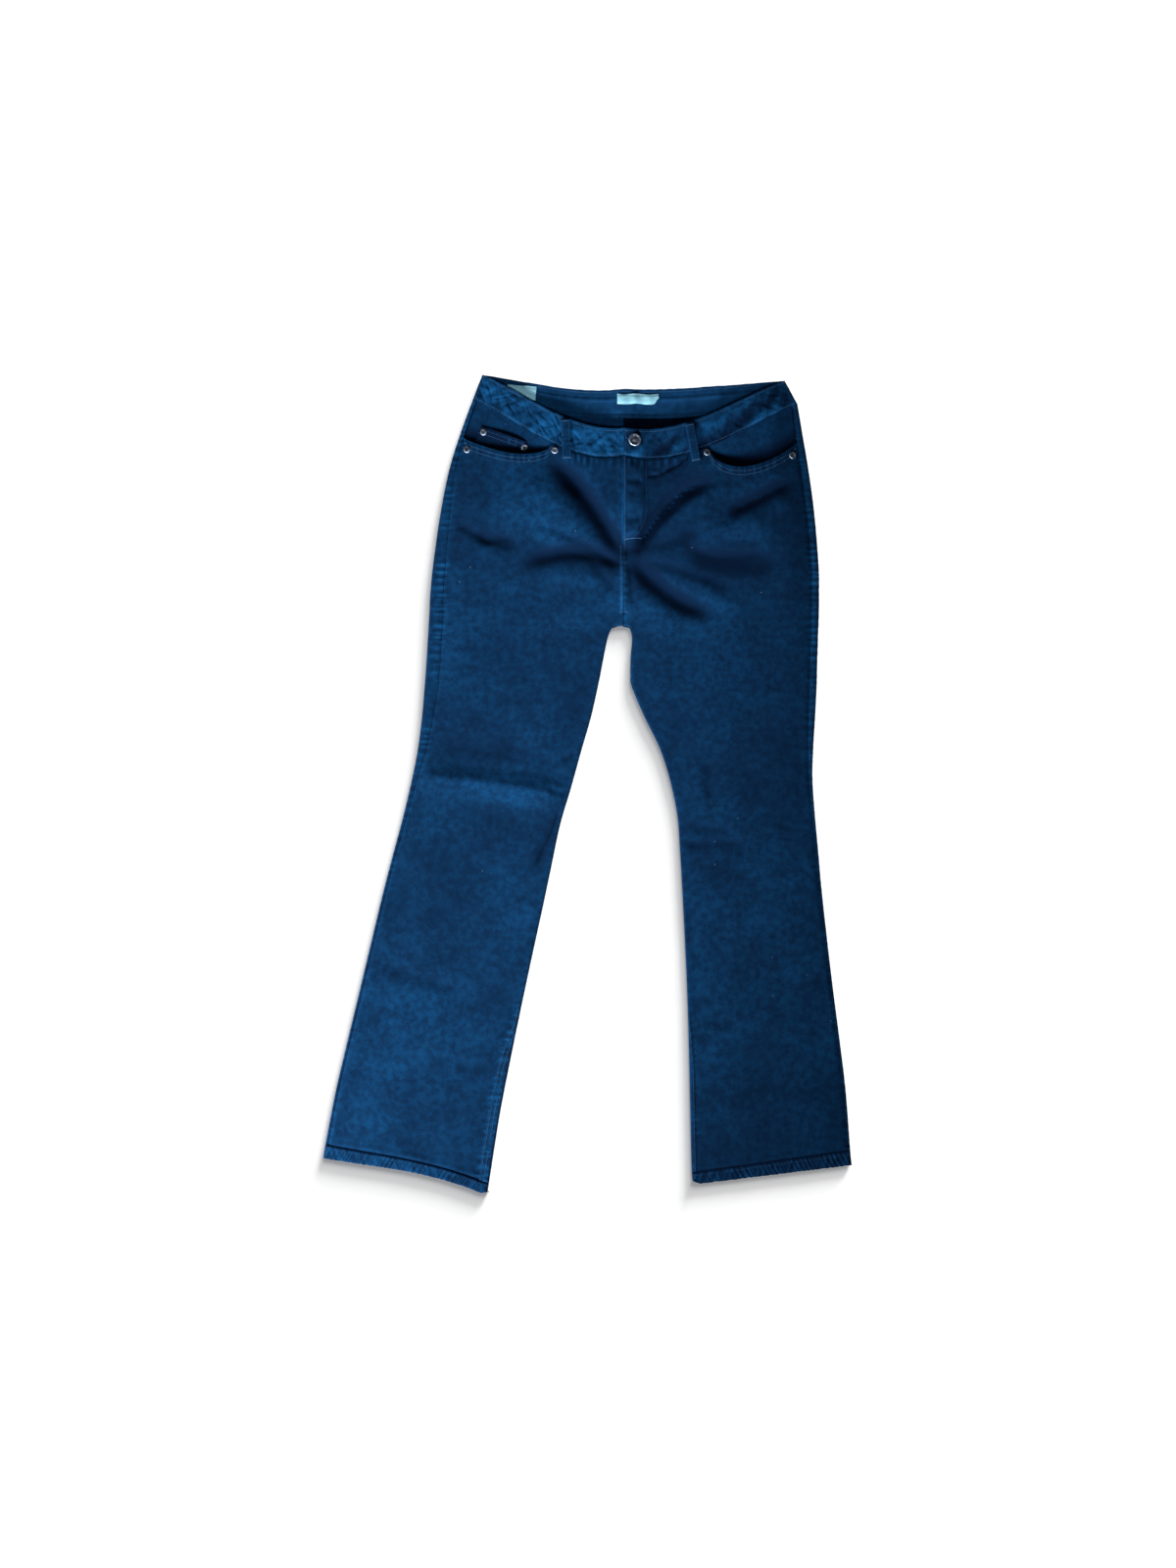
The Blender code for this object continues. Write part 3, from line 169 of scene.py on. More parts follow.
# A section of a half: its outer and inner edge, how far the row sags to the hem, how far the outseam
# lies in from the outer edge on the front, how high the front rises and the roll at its edges.
Section = namedtuple("Section", "name outer_x outer_y inner_x inner_y sag seam loft roll")
RIGHT_LEG = [
    Section("waist",      -158.0,  528.7,   49.7,  450.4, 21.6,  5.0, 14.0, 3.6),
    Section("pocket",     -174.8,  482.8,   49.7,  416.6, 12.0,  6.0, 15.0, 3.6),
    Section("hip",        -190.4,  432.8,   49.7,  382.9,  5.0,  8.0, 16.0, 3.6),
    Section("seat",       -203.2,  369.4,   49.7,  342.4,  1.5, 13.0, 15.0, 3.6),
    Section("fork_top",   -213.3,  297.8,   49.7,  295.1,  0.0, 17.0, 13.0, 3.5),
    Section("fork_mid",   -216.9,  260.0,   49.5,  261.4,  0.0, 18.0, 11.0, 3.4),
    Section("fork",       -218.0,  235.7,   49.0,  238.4,  0.0, 19.0, 10.0, 3.4),
    Section("lip",        -219.0,  219.5,   48.5,  220.9,  0.0, 19.0,  9.4, 3.3),
    Section("crotch",     -219.6,  207.4,   48.0,  216.5,  0.0, 19.0,  9.1, 3.3),
    Section("turn",       -220.3,  197.9,   35.8,  214.7,  0.0, 19.0,  8.8, 3.3),
    Section("inseam",     -221.0,  184.4,   29.0,  203.3,  0.0, 19.0,  8.4, 3.3),
    Section("thigh_1",    -222.6,  160.1,   24.0,  181.7,  0.0, 19.0,  8.0, 3.3),
    Section("thigh_2",    -225.0,  129.1,   16.2,  141.2,  0.0, 18.5,  7.6, 3.2),
    Section("thigh_3",    -228.4,   89.9,    5.4,   92.6,  0.0, 15.0,  7.4, 3.1),
    Section("thigh_4",    -234.2,   45.4,   -8.1,   45.4,  0.0, 11.5,  7.0, 3.0),
    Section("knee_1",     -243.0,    0.8,  -22.3,   -5.9,  0.0,  7.0,  6.8, 3.0),
    Section("knee_2",     -255.2,  -50.5,  -37.8,  -58.6,  0.0,  4.5,  6.4, 3.0),
    Section("knee_3",     -269.3, -103.1,  -50.6, -119.3,  0.0,  3.6,  6.2, 3.0),
    Section("shin_1",     -282.2, -153.1,  -61.4, -170.6,  0.0,  3.4,  6.2, 3.0),
    Section("shin_2",     -298.4, -220.6,  -77.0, -242.2,  0.0,  3.4,  6.2, 3.0),
    Section("shin_3",     -315.2, -290.8,  -92.5, -315.1,  0.0,  3.4,  6.2, 3.0),
    Section("shin_4",     -332.1, -361.0, -108.0, -390.7,  0.0,  3.4,  6.2, 3.0),
    Section("shin_5",     -347.0, -424.4, -121.5, -460.9,  0.0,  3.4,  6.3, 3.0),
    Section("hem_top",    -361.4, -498.7, -136.0, -553.4, -7.2,  3.5,  6.8, 3.2),
    Section("hem_bottom", -364.6, -517.6, -137.7, -570.1, -8.8,  3.5,  6.8, 3.2),
]
LEFT_LEG = [
    Section("waist",       289.6,  521.9,   49.7,  450.4, 24.0,  8.0, 14.0, 3.6),
    Section("pocket",      297.4,  476.0,   49.7,  416.6, 15.0, 10.0, 15.0, 3.6),
    Section("hip",         305.1,  430.1,   49.7,  382.9,  7.0, 11.0, 16.0, 3.6),
    Section("seat",        313.2,  369.4,   49.7,  342.4,  3.0, 11.0, 15.0, 3.6),
    Section("fork_top",    319.0,  297.8,   49.7,  295.1,  0.0, 10.5, 13.0, 3.5),
    Section("fork_mid",    319.5,  262.7,   49.5,  261.4,  0.0, 10.5, 11.0, 3.4),
    Section("fork",        319.4,  238.4,   49.0,  238.4,  0.0, 10.5, 10.0, 3.4),
    Section("lip",         319.0,  222.2,   48.5,  220.9,  0.0, 10.5,  9.4, 3.3),
    Section("crotch",      318.6,  211.4,   48.0,  216.5,  0.0, 10.5,  9.1, 3.3),
    Section("turn",        318.2,  202.0,   56.7,  214.4,  0.0, 10.5,  8.8, 3.3),
    Section("inseam",      317.9,  189.8,   61.4,  199.3,  0.0, 10.5,  8.4, 3.3),
    Section("thigh_1",     317.1,  165.5,   59.4,  169.6,  0.0, 10.5,  8.0, 3.3),
    Section("thigh_2",     316.3,  133.1,   61.0,  134.5,  0.0, 10.5,  7.6, 3.2),
    Section("thigh_3",     314.3,   92.6,   77.6,   92.6,  0.0, 10.0,  7.4, 3.1),
    Section("thigh_4",     311.7,   49.4,   99.2,   48.1,  0.0,  8.0,  7.0, 3.0),
    Section("knee_1",      310.5,    4.9,  113.4,    4.9,  0.0,  5.5,  6.8, 3.0),
    Section("knee_2",      313.9,  -45.1,  123.9,  -45.1,  0.0,  4.0,  6.4, 3.0),
    Section("knee_3",      318.6,  -96.4,  127.6,  -93.7,  0.0,  3.6,  6.2, 3.0),
    Section("shin_1",      322.7, -143.6,  130.3, -139.6,  0.0,  3.4,  6.2, 3.0),
    Section("shin_2",      330.1, -211.1,  133.7, -204.4,  0.0,  3.4,  6.2, 3.0),
    Section("shin_3",      338.2, -280.0,  137.0, -275.9,  0.0,  3.4,  6.2, 3.0),
    Section("shin_4",      347.6, -352.9,  139.5, -350.2,  0.0,  3.4,  6.2, 3.0),
    Section("shin_5",      356.1, -423.1,  141.1, -423.1,  0.0,  3.4,  6.3, 3.0),
    Section("hem_top",     362.5, -506.8,  143.8, -537.5,  0.0,  3.5,  6.8, 3.2),
    Section("hem_bottom",  364.6, -527.4,  147.2, -554.0,  0.0,  3.5,  6.8, 3.2),
]
LEGS = {"right": RIGHT_LEG, "left": LEFT_LEG}
INWARD = {"right": 1.0, "left": -1.0}      # the way along X from a side to the centre
STATION = {section.name: number for number, section in enumerate(RIGHT_LEG)}

# A hem's inner corner is rounded: over this share of the leg's width, rising this much.
Corner = namedtuple("Corner", "share rise")
HEM_CORNER = {"right": Corner(0.05, 6.5), "left": Corner(0.04, 6.7)}

# The back rises higher than the front: where its rows end at the centre, and how far they sag.
BackRise = namedtuple("BackRise", "inner_y sag")
BACK_RISE = {
    "waist": BackRise(504.0, 6.0), "pocket": BackRise(458.0, 4.0),
    "hip": BackRise(405.0, 2.0), "seat": BackRise(350.0, 1.0),
}

DENIM = 1.2            # one layer
SEAM_GAP = 0.3         # between pieces that are sewn edge to edge
BAND_SEAM_GAP = 0.5
LAY_GAP = 0.35         # between a piece and what it lies on
LEAST_HOLLOW = 1.6     # between a front's cloth and the back's
CENTRE_X = 49.7        # where the centre front and centre back seams run
SAG_AT = 0.62          # how far inward a row's lowest point lies
BAND_DEPTH = 38.0      # of the waistband, from its top edge to its seam
OUTER_EASE = 50.0      # how far in from an edge the front reaches its full height
INNER_EASE = 45.0
FOLD_EASE = 22.0
EDGE_POINTS = 129      # of the line that stands for an inner edge
BAND_EASE = 20.0
YOKE_FALL = 0.55       # how far the yoke's seam falls to the centre back, in sections

# The seat rises a little where a back pocket lies under it.
PocketForm = namedtuple("PocketForm", "top foot tall point corner")
POCKET = PocketForm(140.0, 118.0, 128.0, 20.0, 9.0)
POCKET_TILT = 8.0
POCKET_CENTRE = {"right": (-84.0, 358.0), "left": (183.4, 358.0)}
POCKET_LIFT = 1.7
POCKET_EASE = (20.0, 45.0)      # how far beyond its edge the cloth starts to fall, and lies flat

# Folds of the front: a line with a bend to its left, its half width and its height.
Fold = namedtuple("Fold", "name x0 y0 x1 y1 bend width height")
FOLD_POINTS = 11
FOLD_TAIL = 0.16      # past each end of its line a fold goes on, dying away
FOLDS = [
    Fold("right_whisker",            -34.0,  434.0,   46.0,  318.0,   4.0, 11.0, -8.0),
    Fold("left_whisker",             160.0,  412.0,   72.0,  326.0, -13.0,  9.0, -8.0),
    Fold("left_hip_drag",            273.0,  411.0,  200.0,  375.0,   0.0,  9.0, -3.5),
    Fold("right_seat_dip",          -150.0,  342.0, -100.0,  330.0,   0.0, 12.0, -2.5),
    Fold("right_fork_drag",          -74.0,  308.0,   40.0,  303.0,  12.0, 11.0, -3.6),
    Fold("left_fork_drag",            64.0,  303.0,  163.0,  234.0,  -6.0, 12.0, -5.0),
    Fold("left_seat_dip",            146.0,  310.0,  258.0,  303.0,  -4.0, 16.0, -3.5),
    Fold("right_hip_swell",         -120.0,  395.0,  -30.0,  350.0,   6.0, 30.0,  3.5),
    Fold("left_hip_swell",           150.0,  345.0,  250.0,  350.0,   8.0, 22.0,  3.5),
    Fold("fly_swell",                 62.0,  440.0,   60.0,  345.0,   0.0, 18.0,  3.0),
    Fold("right_knee_ridge",        -236.0,    8.0,  -40.0,  -17.0,   3.0, 22.0,  4.4),
    Fold("right_knee_hollow",       -214.0,   52.0,  -52.0,   36.0,   3.0, 18.0, -1.2),
    Fold("right_knee_groove",        -42.0,  -40.0,  -67.0, -108.0,   0.0,  7.0, -2.0),
    Fold("right_shin_drag",         -277.0, -256.0, -178.0, -285.0,   0.0, 10.0, -1.6),
    Fold("right_shin_crease",       -178.0, -391.0, -133.0, -395.0,   0.0,  8.0, -1.4),
    Fold("left_knee_dent",           167.0,   28.0,  168.0,  -16.0,   0.0,  8.0, -1.8),
    Fold("left_knee_drag",           146.0,  -63.0,  197.0,  -66.0,   0.0,  8.0, -1.8),
    Fold("left_knee_crease",         135.0,  -84.0,  212.0,  -82.0,   0.0,  8.0, -1.8),
    Fold("left_shin_crease",         163.0, -330.0,  202.0, -331.0,   0.0,  8.0, -1.4),
]

FLY_TOP_Y = 449.4
FLY_TURN_Y = 362.6       # where the curved stitching starts to turn
FLY_FOOT_Y = 332.9
FLY_WIDTH = 31.3
FLY_LIFT = 2.7
FLY_EASE = 12.0


def ease(distance, full):
    """0 at no distance, 1 from `full` on, smooth between."""
    share = np.clip(distance / full, 0.0, 1.0)
    return share * share * (3.0 - 2.0 * share)


def even_shares(cells):
    """Even steps from 0 to 1."""
    return np.linspace(0.0, 1.0, cells + 1)


def hump(distance, width):
    """1 at no distance, dying away over this width to both sides."""
    return np.exp(-((distance / width) ** 2))


def hang(share, lowest=SAG_AT):
    """How a row sags between its ends: 0 at both, 1 where it is lowest."""
    moved = np.clip(share, 0.0, 1.0) ** (math.log(0.5) / math.log(lowest))
    return 4.0 * moved * (1.0 - moved)


def curve_through(values, station):
    """Smooth values between a table's rows."""
    last = len(values) - 1
    row = np.clip(np.floor(station).astype(int), 0, last - 1)
    part = (station - row)[..., None]
    before, here, after, beyond = (values[np.clip(row + step, 0, last)] for step in (-1, 0, 1, 2))
    return 0.5 * (
        2.0 * here
        + (after - before) * part
        + (2.0 * before - 5.0 * here + 4.0 * after - beyond) * part**2
        + (3.0 * here - before - 3.0 * after + beyond) * part**3
    )


def section_at(side, station, face="front"):
    """The section at any station, its fields as arrays."""
    table = [list(section[1:]) for section in LEGS[side]]
    if face == "back":
        for name, rise in BACK_RISE.items():
            table[STATION[name]][3:5] = rise
    values = curve_through(np.array(table), np.asarray(station, float))
    return Section(None, *np.moveaxis(values, -1, 0))


def row_width(section):
    return np.hypot(section.inner_x - section.outer_x, section.inner_y - section.outer_y)


def even_stations(side, first, last, cells):
    """Stations evenly spaced along a half's outer edge, from one section to another."""
    rough = np.linspace(STATION[first], STATION[last], 500)
    section = section_at(side, rough)
    steps = np.hypot(np.diff(section.outer_x), np.diff(section.outer_y))
    run = np.concatenate([[0.0], np.cumsum(steps)])
    return np.interp(np.linspace(0.0, run[-1], cells + 1), run, rough)


def distance_to_line(x, y, points):
    """How far each point lies from a line of straight runs."""
    nearest = np.full(np.shape(x), 1e9)
    for (ax, ay), (bx, by) in zip(points[:-1], points[1:]):
        run = (bx - ax) ** 2 + (by - ay) ** 2
        share = np.clip(((x - ax) * (bx - ax) + (y - ay) * (by - ay)) / run, 0.0, 1.0)
        nearest = np.minimum(nearest, np.hypot(x - ax - share * (bx - ax), y - ay - share * (by - ay)))
    return nearest


def inner_edge_distance(side, x, y):
    """How far a point lies from the edge that runs from the crotch down the inseam."""
    edge = section_at(side, np.linspace(STATION["crotch"], STATION["hem_bottom"], EDGE_POINTS))
    return distance_to_line(x, y, list(zip(edge.inner_x, edge.inner_y)))


def pocket_frame(side, x, y):
    """A point in a back pocket's own directions, across and up."""
    turn = math.radians(POCKET_TILT) * INWARD[side]
    dx, dy = x - POCKET_CENTRE[side][0], y - POCKET_CENTRE[side][1]
    return dx * math.cos(turn) - dy * math.sin(turn), dx * math.sin(turn) + dy * math.cos(turn)


def underside(x, y):
    """Height of the cloth's lower face: on the surface, but lifted by the back pockets."""
    lift = np.zeros(np.shape(x))
    for side in LEGS:
        across, up = pocket_frame(side, x, y)
        beyond = np.maximum(np.abs(across) - POCKET.top / 2, np.abs(up) - (POCKET.tall + POCKET.point) / 2)
        start, end = POCKET_EASE
        lift = np.maximum(lift, POCKET_LIFT * (1.0 - ease(beyond - start, end - start)))
    return lift


def fold_heights(x, y, folds):
    """How far folds raise or sink the cloth at a place. Each dies away towards its ends."""
    total = np.zeros(np.shape(x))
    share = np.linspace(-FOLD_TAIL, 1.0 + FOLD_TAIL, FOLD_POINTS)[:, None]
    for fold in folds:
        start, run = np.array([fold.x0, fold.y0]), np.array([fold.x1 - fold.x0, fold.y1 - fold.y0])
        left = np.array([-run[1], run[0]]) / np.hypot(*run)
        line = start + share * run + 4.0 * share * (1.0 - share) * fold.bend * left
        at = ((x - start[0]) * run[0] + (y - start[1]) * run[1]) / (run @ run)
        fade = ease(at + FOLD_TAIL, 2.0 * FOLD_TAIL) * ease(1.0 + FOLD_TAIL - at, 2.0 * FOLD_TAIL)
        total = total + fade * fold.height * hump(distance_to_line(x, y, line), fold.width)
    return total


def fly_share(x, y):
    """1 on the fly, 0 off it, from the centre front to the curved line of stitching."""
    turned = np.clip((FLY_TURN_Y - y) / (FLY_TURN_Y - FLY_FOOT_Y), 0.0, 1.0)
    reach = FLY_WIDTH * np.sqrt(1.0 - turned**2)
    across = ease(reach - (x - CENTRE_X) + FLY_EASE / 3, FLY_EASE)
    return across * ease(y - FLY_FOOT_Y, FLY_EASE) * (x > CENTRE_X)


def roll_off(distance, radius):
    """What a rolled edge falls away from the flat face beside it."""
    short = np.clip(radius - distance, 0.0, radius)
    return radius - np.sqrt(radius**2 - short**2)


def skin(side, station, distance, upper, face="front"):
    """Outer points of a half: `distance` inward from the outer edge, on its upper or lower face."""
    section = section_at(side, station, face)
    share = distance / row_width(section)
    x = section.outer_x + (section.inner_x - section.outer_x) * share
    y = section.outer_y + (section.inner_y - section.outer_y) * share - section.sag * hang(share)
    corner = HEM_CORNER[side]
    cut = np.clip((share - 1.0 + corner.share) / corner.share, 0.0, 1.0)
    y = y + corner.rise * cut**1.8 * np.clip(station - STATION["hem_top"], 0.0, 1.0)
    return np.stack([x, y, skin_height(side, section, x, y, distance, upper)], axis=-1)


def skin_height(side, section, x, y, distance, upper):
    """Height of a half's outer face at a place that lies `distance` from its outer edge."""
    inner = inner_edge_distance(side, x, y)
    falls = roll_off(distance, section.roll) + roll_off(inner, section.roll)
    low = underside(x, y)
    flat = 2.0 * section.roll
    rise = (section.loft - flat) * ease(distance, OUTER_EASE) * ease(inner, INNER_EASE)
    rise = rise + fold_heights(x, y, FOLDS) * ease(distance, FOLD_EASE) * ease(inner, FOLD_EASE)
    high = np.maximum(flat + rise, low * ease(distance, BAND_EASE) + 2.0 * DENIM + LEAST_HOLLOW)
    if side == "left":
        high = high + FLY_LIFT * fly_share(x, y)
    return np.where(upper, high - falls, low + falls)


def ripple(x, y, size, seed):
    """Smooth random heights from -1 to 1 that change over this size."""
    cells = 64
    lattice = np.random.default_rng(seed).uniform(-1.0, 1.0, (cells, cells))
    across, along = np.asarray(x) / size, np.asarray(y) / size
    column, row = np.floor(across).astype(int), np.floor(along).astype(int)
    part_x, part_y = ease(across - column, 1.0), ease(along - row, 1.0)
    near, far = (
        lattice[(column + step) % cells, row % cells] * (1.0 - part_y)
        + lattice[(column + step) % cells, (row + 1) % cells] * part_y
        for step in (0, 1)
    )
    return near * (1.0 - part_x) + far * part_x


def rungs(along, across, period, reach, depth, seed):
    """Puckers across a seam: uneven waves along it that die away to both sides."""
    still = np.zeros(np.shape(along))
    phase = along / period + 0.8 * ripple(along, still, 2.6 * period, seed)
    size = 0.55 + 0.45 * ripple(along, still, 2.2 * period, seed + 1)
    return depth * size * np.sin(2.0 * np.pi * phase) * hump(across, reach)


def crumple(x, y, short, long, turn, seed):
    """Ripples drawn out into ridges: their width, their length and the way they run, in degrees."""
    way = math.radians(turn)
    along, across = x * math.cos(way) + y * math.sin(way), y * math.cos(way) - x * math.sin(way)
    return ripple(along * short / long, across, short, seed)


def unevenness(x, y, seed):
    """The small rise and fall of cloth after long use and washing."""
    broad = 0.7 * ripple(x, y, 60.0, seed) + 0.30 * crumple(x, y, 17.0, 40.0, 12.0, seed + 1)
    return broad + 0.16 * crumple(x, y, 8.0, 22.0, -14.0, seed + 2) + 0.05 * ripple(x, y, 3.5, seed + 3)


UP, DOWN = (0.0, 0.0, 1.0), (0.0, 0.0, -1.0)
FAR = 200.0           # well above or below every piece
INNER_SKIP = 4        # the hidden inner face has every fourth row and column of the outer one
USUAL_WEAR = 0.36     # how washed out the dye is: 0 not at all, 1 wholly
CREASE_ANGLE = math.radians(60)


def grid_normals(points, outward, ring):
    """Unit normals of a grid of points, and whether its faces must turn to face `outward`."""
    if ring:
        across = np.roll(points, -1, axis=1) - np.roll(points, 1, axis=1)
    else:
        across = np.gradient(points, axis=1)
    normals = np.cross(np.gradient(points, axis=0), across)
    normals /= np.linalg.norm(normals, axis=-1, keepdims=True)
    rows, columns = points.shape[:2]
    turned = np.dot(normals[rows // 2, columns // 2], outward) < 0.0
    return (-normals if turned else normals), turned


def cloth(name, points, thickness, outward, worn_and_shaded=None, skip=INNER_SKIP, ring=False):
    """A closed cloth wall under a grid of outer points, with its threads' directions and its wear, which on
    some pieces also paints shade into hollows and grooves.
    """
    normals, turned = grid_normals(points, np.array(outward), ring)
    rows, columns = points.shape[:2]
    inner = (points - thickness * normals)[::skip, ::skip]
    outside = np.arange(rows * columns).reshape(rows, columns)
    inside = rows * columns + np.arange(inner.shape[0] * inner.shape[1]).reshape(inner.shape[:2])
    if ring:
        outside = np.hstack([outside, outside[:, :1]])
        inside = np.hstack([inside, inside[:, :1]])

    faces = []
    for layer, forward in ((outside, True), (inside, False)):
        corners = [layer[:-1, :-1], layer[:-1, 1:], layer[1:, 1:], layer[1:, :-1]]
        corners = corners if forward else corners[::-1]
        faces += np.stack(corners, axis=-1).reshape(-1, 4).tolist()
    rims = [(outside[0], inside[0], True), (outside[-1], inside[-1], False)]
    if not ring:
        rims += [(outside[:, 0], inside[:, 0], False), (outside[:, -1], inside[:, -1], True)]
    for fine, coarse, backward in rims:
        fine, coarse = fine.tolist(), coarse.tolist()
        for cell in range(len(coarse) - 1):
            edge = fine[cell * skip:(cell + 1) * skip + 1]
            ends = [coarse[cell + 1], coarse[cell]]
            faces.append(edge[::-1] + ends[::-1] if backward else edge + ends)
    if not turned:
        faces = [face[::-1] for face in faces]

    mesh = bpy.data.meshes.new(name)
    vertices = np.concatenate([points.reshape(-1, 3), inner.reshape(-1, 3)]) * MM
    mesh.from_pydata(vertices.tolist(), [], faces)
    threads = np.stack([run_along(points, 1), run_along(points, 0)], axis=-1)
    threads = np.concatenate([threads.reshape(-1, 2), threads[::skip, ::skip].reshape(-1, 2)]) * MM
    corner_vertex = np.zeros(len(mesh.loops), np.int32)
    mesh.loops.foreach_get("vertex_index", corner_vertex)
    mesh.uv_layers.new(name="threads").data.foreach_set("uv", threads[corner_vertex].ravel())
    wear = np.full(len(vertices), USUAL_WEAR, np.float32)
    if worn_and_shaded is not None:
        wear[:rows * columns] = np.clip(worn_and_shaded, 0.0, 1.0).ravel()
    mesh.attributes.new("wear", "FLOAT", "POINT").data.foreach_set("value", wear)
    mesh.shade_smooth()
    mesh.set_sharp_from_angle(angle=CREASE_ANGLE)
    return add_object(name, mesh)


def run_along(points, axis):
    """How far each point of a grid lies from its first row or column, along the cloth."""
    first = np.take(points, [0], axis=axis)
    return np.cumsum(np.linalg.norm(np.diff(points, axis=axis, prepend=first), axis=-1), axis=axis)


def spread(points, ring=False):
    """Flat width, length and area of a grid of points, in metres."""
    if ring:
        points = np.concatenate([points, points[:, :1]], axis=1)
    width = np.linalg.norm(np.diff(points, axis=1), axis=-1).sum(axis=1).max()
    length = np.linalg.norm(np.diff(points, axis=0), axis=-1).sum(axis=0).max()
    first = np.cross(points[1:, 1:] - points[:-1, :-1], points[1:, :-1] - points[:-1, 1:])
    area = np.linalg.norm(first, axis=-1).sum() / 2.0
    return width * MM, length * MM, area * MM**2


def dress(piece, points, nodes, finish, ring=False):
    """Give a cloth piece its finish, hang it on the root and hide the solids that it stands for. Its flat
    size and area are worked out but not used.
    """
    piece.data.materials.append(finish)
    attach(piece, "root")
    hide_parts(*nodes)
    width, length, area = spread(points, ring)
    area = min(area, width * length)


def surface_of(*pieces):
    """A ray-cast tree of pieces already made, in millimetres, to lay others on them."""
    vertices, polygons = [], []
    for piece in pieces:
        start = len(vertices)
        vertices += [vertex.co / MM for vertex in piece.data.vertices]
        polygons += [[start + index for index in polygon.vertices] for polygon in piece.data.polygons]
    return BVHTree.FromPolygons(vertices, polygons)


def heights_on(tree, x, y, reach=0.0, below=False):
    """Highest point of the pieces within `reach` of each place, or with `below` the lowest one."""
    turns = np.arange(8) * math.pi / 4 if reach else []
    steps = [(0.0, 0.0)] + [(reach * math.cos(turn), reach * math.sin(turn)) for turn in turns]
    start, way, pick = (-FAR, Vector(UP), min) if below else (FAR, Vector(DOWN), max)
    found = np.zeros(np.shape(x))
    for index in np.ndindex(*np.shape(x)):
        hits = [tree.ray_cast(Vector((x[index] + dx, y[index] + dy, start)), way)[0] for dx, dy in steps]
        found[index] = pick((hit.z for hit in hits if hit), default=0.0)
    return found


def contour(points, measure, value, axis):
    """The line on a grid where `measure`, which grows along this axis, has this value."""
    if axis == 1:
        points, measure = np.swapaxes(points, 0, 1), measure.T
    places = [
        [np.interp(value, measure[:, column], points[:, column, part]) for part in range(3)]
        for column in range(points.shape[1])
    ]
    return np.array(places)


def on_surface(tree, line, step=1.5, below=False):
    """A line of straight runs in x and y, cut into short steps and laid on pieces."""
    line = np.array(line, float)
    runs = np.concatenate([[0.0], np.cumsum(np.hypot(*np.diff(line, axis=0).T))])
    along = np.linspace(0.0, runs[-1], max(2, int(runs[-1] / step) + 1))
    x, y = np.interp(along, runs, line[:, 0]), np.interp(along, runs, line[:, 1])
    return np.stack([x, y, heights_on(tree, x, y, below=below)], axis=-1)


def bar(tree, start, end, width, spacing=0.55, below=False):
    """A bartack: short stitches side by side across a line, each as its middle and one end."""
    (x0, y0), (x1, y1) = start, end
    length = math.hypot(x1 - x0, y1 - y0)
    side_x, side_y = -(y1 - y0) / length * width / 2, (x1 - x0) / length * width / 2
    share = np.linspace(0.0, 1.0, int(length / spacing) + 1)
    x, y = x0 + share * (x1 - x0), y0 + share * (y1 - y0)
    z = heights_on(tree, x, y, below=below)
    return [np.array([(px, py, pz), (px + side_x, py + side_y, pz)]) for px, py, pz in zip(x, y, z)]


# Stitching: a thread's visible parts, one after another along a line, their ends drawn into the cloth.
STITCH_PITCH = 3.0
STITCH_LENGTH = 2.5
STITCH_WIDTH = 0.75
STITCH_HEIGHT = 0.55
TACK = {"length": 2.8, "width": 0.6}       # a bartack's stitches on a belt loop

stitching = bpy.data.node_groups.new("stitching", "GeometryNodeTree")
stitch_sockets = {}
for label, kind in (("Line", "Geometry"), ("Pitch", "Float"), ("Length", "Float"), ("Width", "Float"),
                    ("Height", "Float"), ("Unevenness", "Float"), ("Seed", "Int"), ("Thread", "Material")):
    socket = stitching.interface.new_socket(label, in_out="INPUT", socket_type=f"NodeSocket{kind}")
    stitch_sockets[label] = socket.identifier
stitching.interface.new_socket("Stitches", in_out="OUTPUT", socket_type="NodeSocketGeometry")
stitch_in = add_node(stitching, "NodeGroupInput").outputs
stitch_curve = add_node(stitching, "GeometryNodeMeshToCurve", [("Mesh", stitch_in["Line"])])
stitch_points = add_node(stitching, "GeometryNodeCurveToPoints", mode="LENGTH", inputs=[
    ("Curve", stitch_curve.outputs["Curve"]), ("Length", stitch_in["Pitch"]),
])
stitch_form = add_node(stitching, "GeometryNodeMeshUVSphere", [
    ("Segments", 4), ("Rings", 3), ("Radius", 0.5),
])
stitch_least = add_node(stitching, "ShaderNodeMath", operation="SUBTRACT", inputs=[
    (0, 1.0), (1, stitch_in["Unevenness"]),
])
stitch_chance = add_node(stitching, "FunctionNodeRandomValue", [
    (2, stitch_least.outputs[0]), ("Seed", stitch_in["Seed"]),
])
stitch_long = add_node(stitching, "ShaderNodeMath", operation="MULTIPLY", inputs=[
    (0, stitch_chance.outputs[1]), (1, stitch_in["Length"]),
])
stitch_size = add_node(stitching, "ShaderNodeCombineXYZ", [
    ("X", stitch_in["Width"]), ("Y", stitch_in["Height"]), ("Z", stitch_long.outputs[0]),
])
stitch_each = add_node(stitching, "GeometryNodeInstanceOnPoints", [
    ("Points", stitch_points.outputs["Points"]), ("Rotation", stitch_points.outputs["Rotation"]),
    ("Instance", stitch_form.outputs["Mesh"]), ("Scale", stitch_size.outputs["Vector"]),
])
stitch_real = add_node(stitching, "GeometryNodeRealizeInstances", [
    ("Geometry", stitch_each.outputs["Instances"]),
])
stitch_finish = add_node(stitching, "GeometryNodeSetMaterial", [
    ("Geometry", stitch_real.outputs["Geometry"]), ("Material", stitch_in["Thread"]),
])
add_node(stitching, "NodeGroupOutput", [("Stitches", stitch_finish.outputs["Geometry"])])


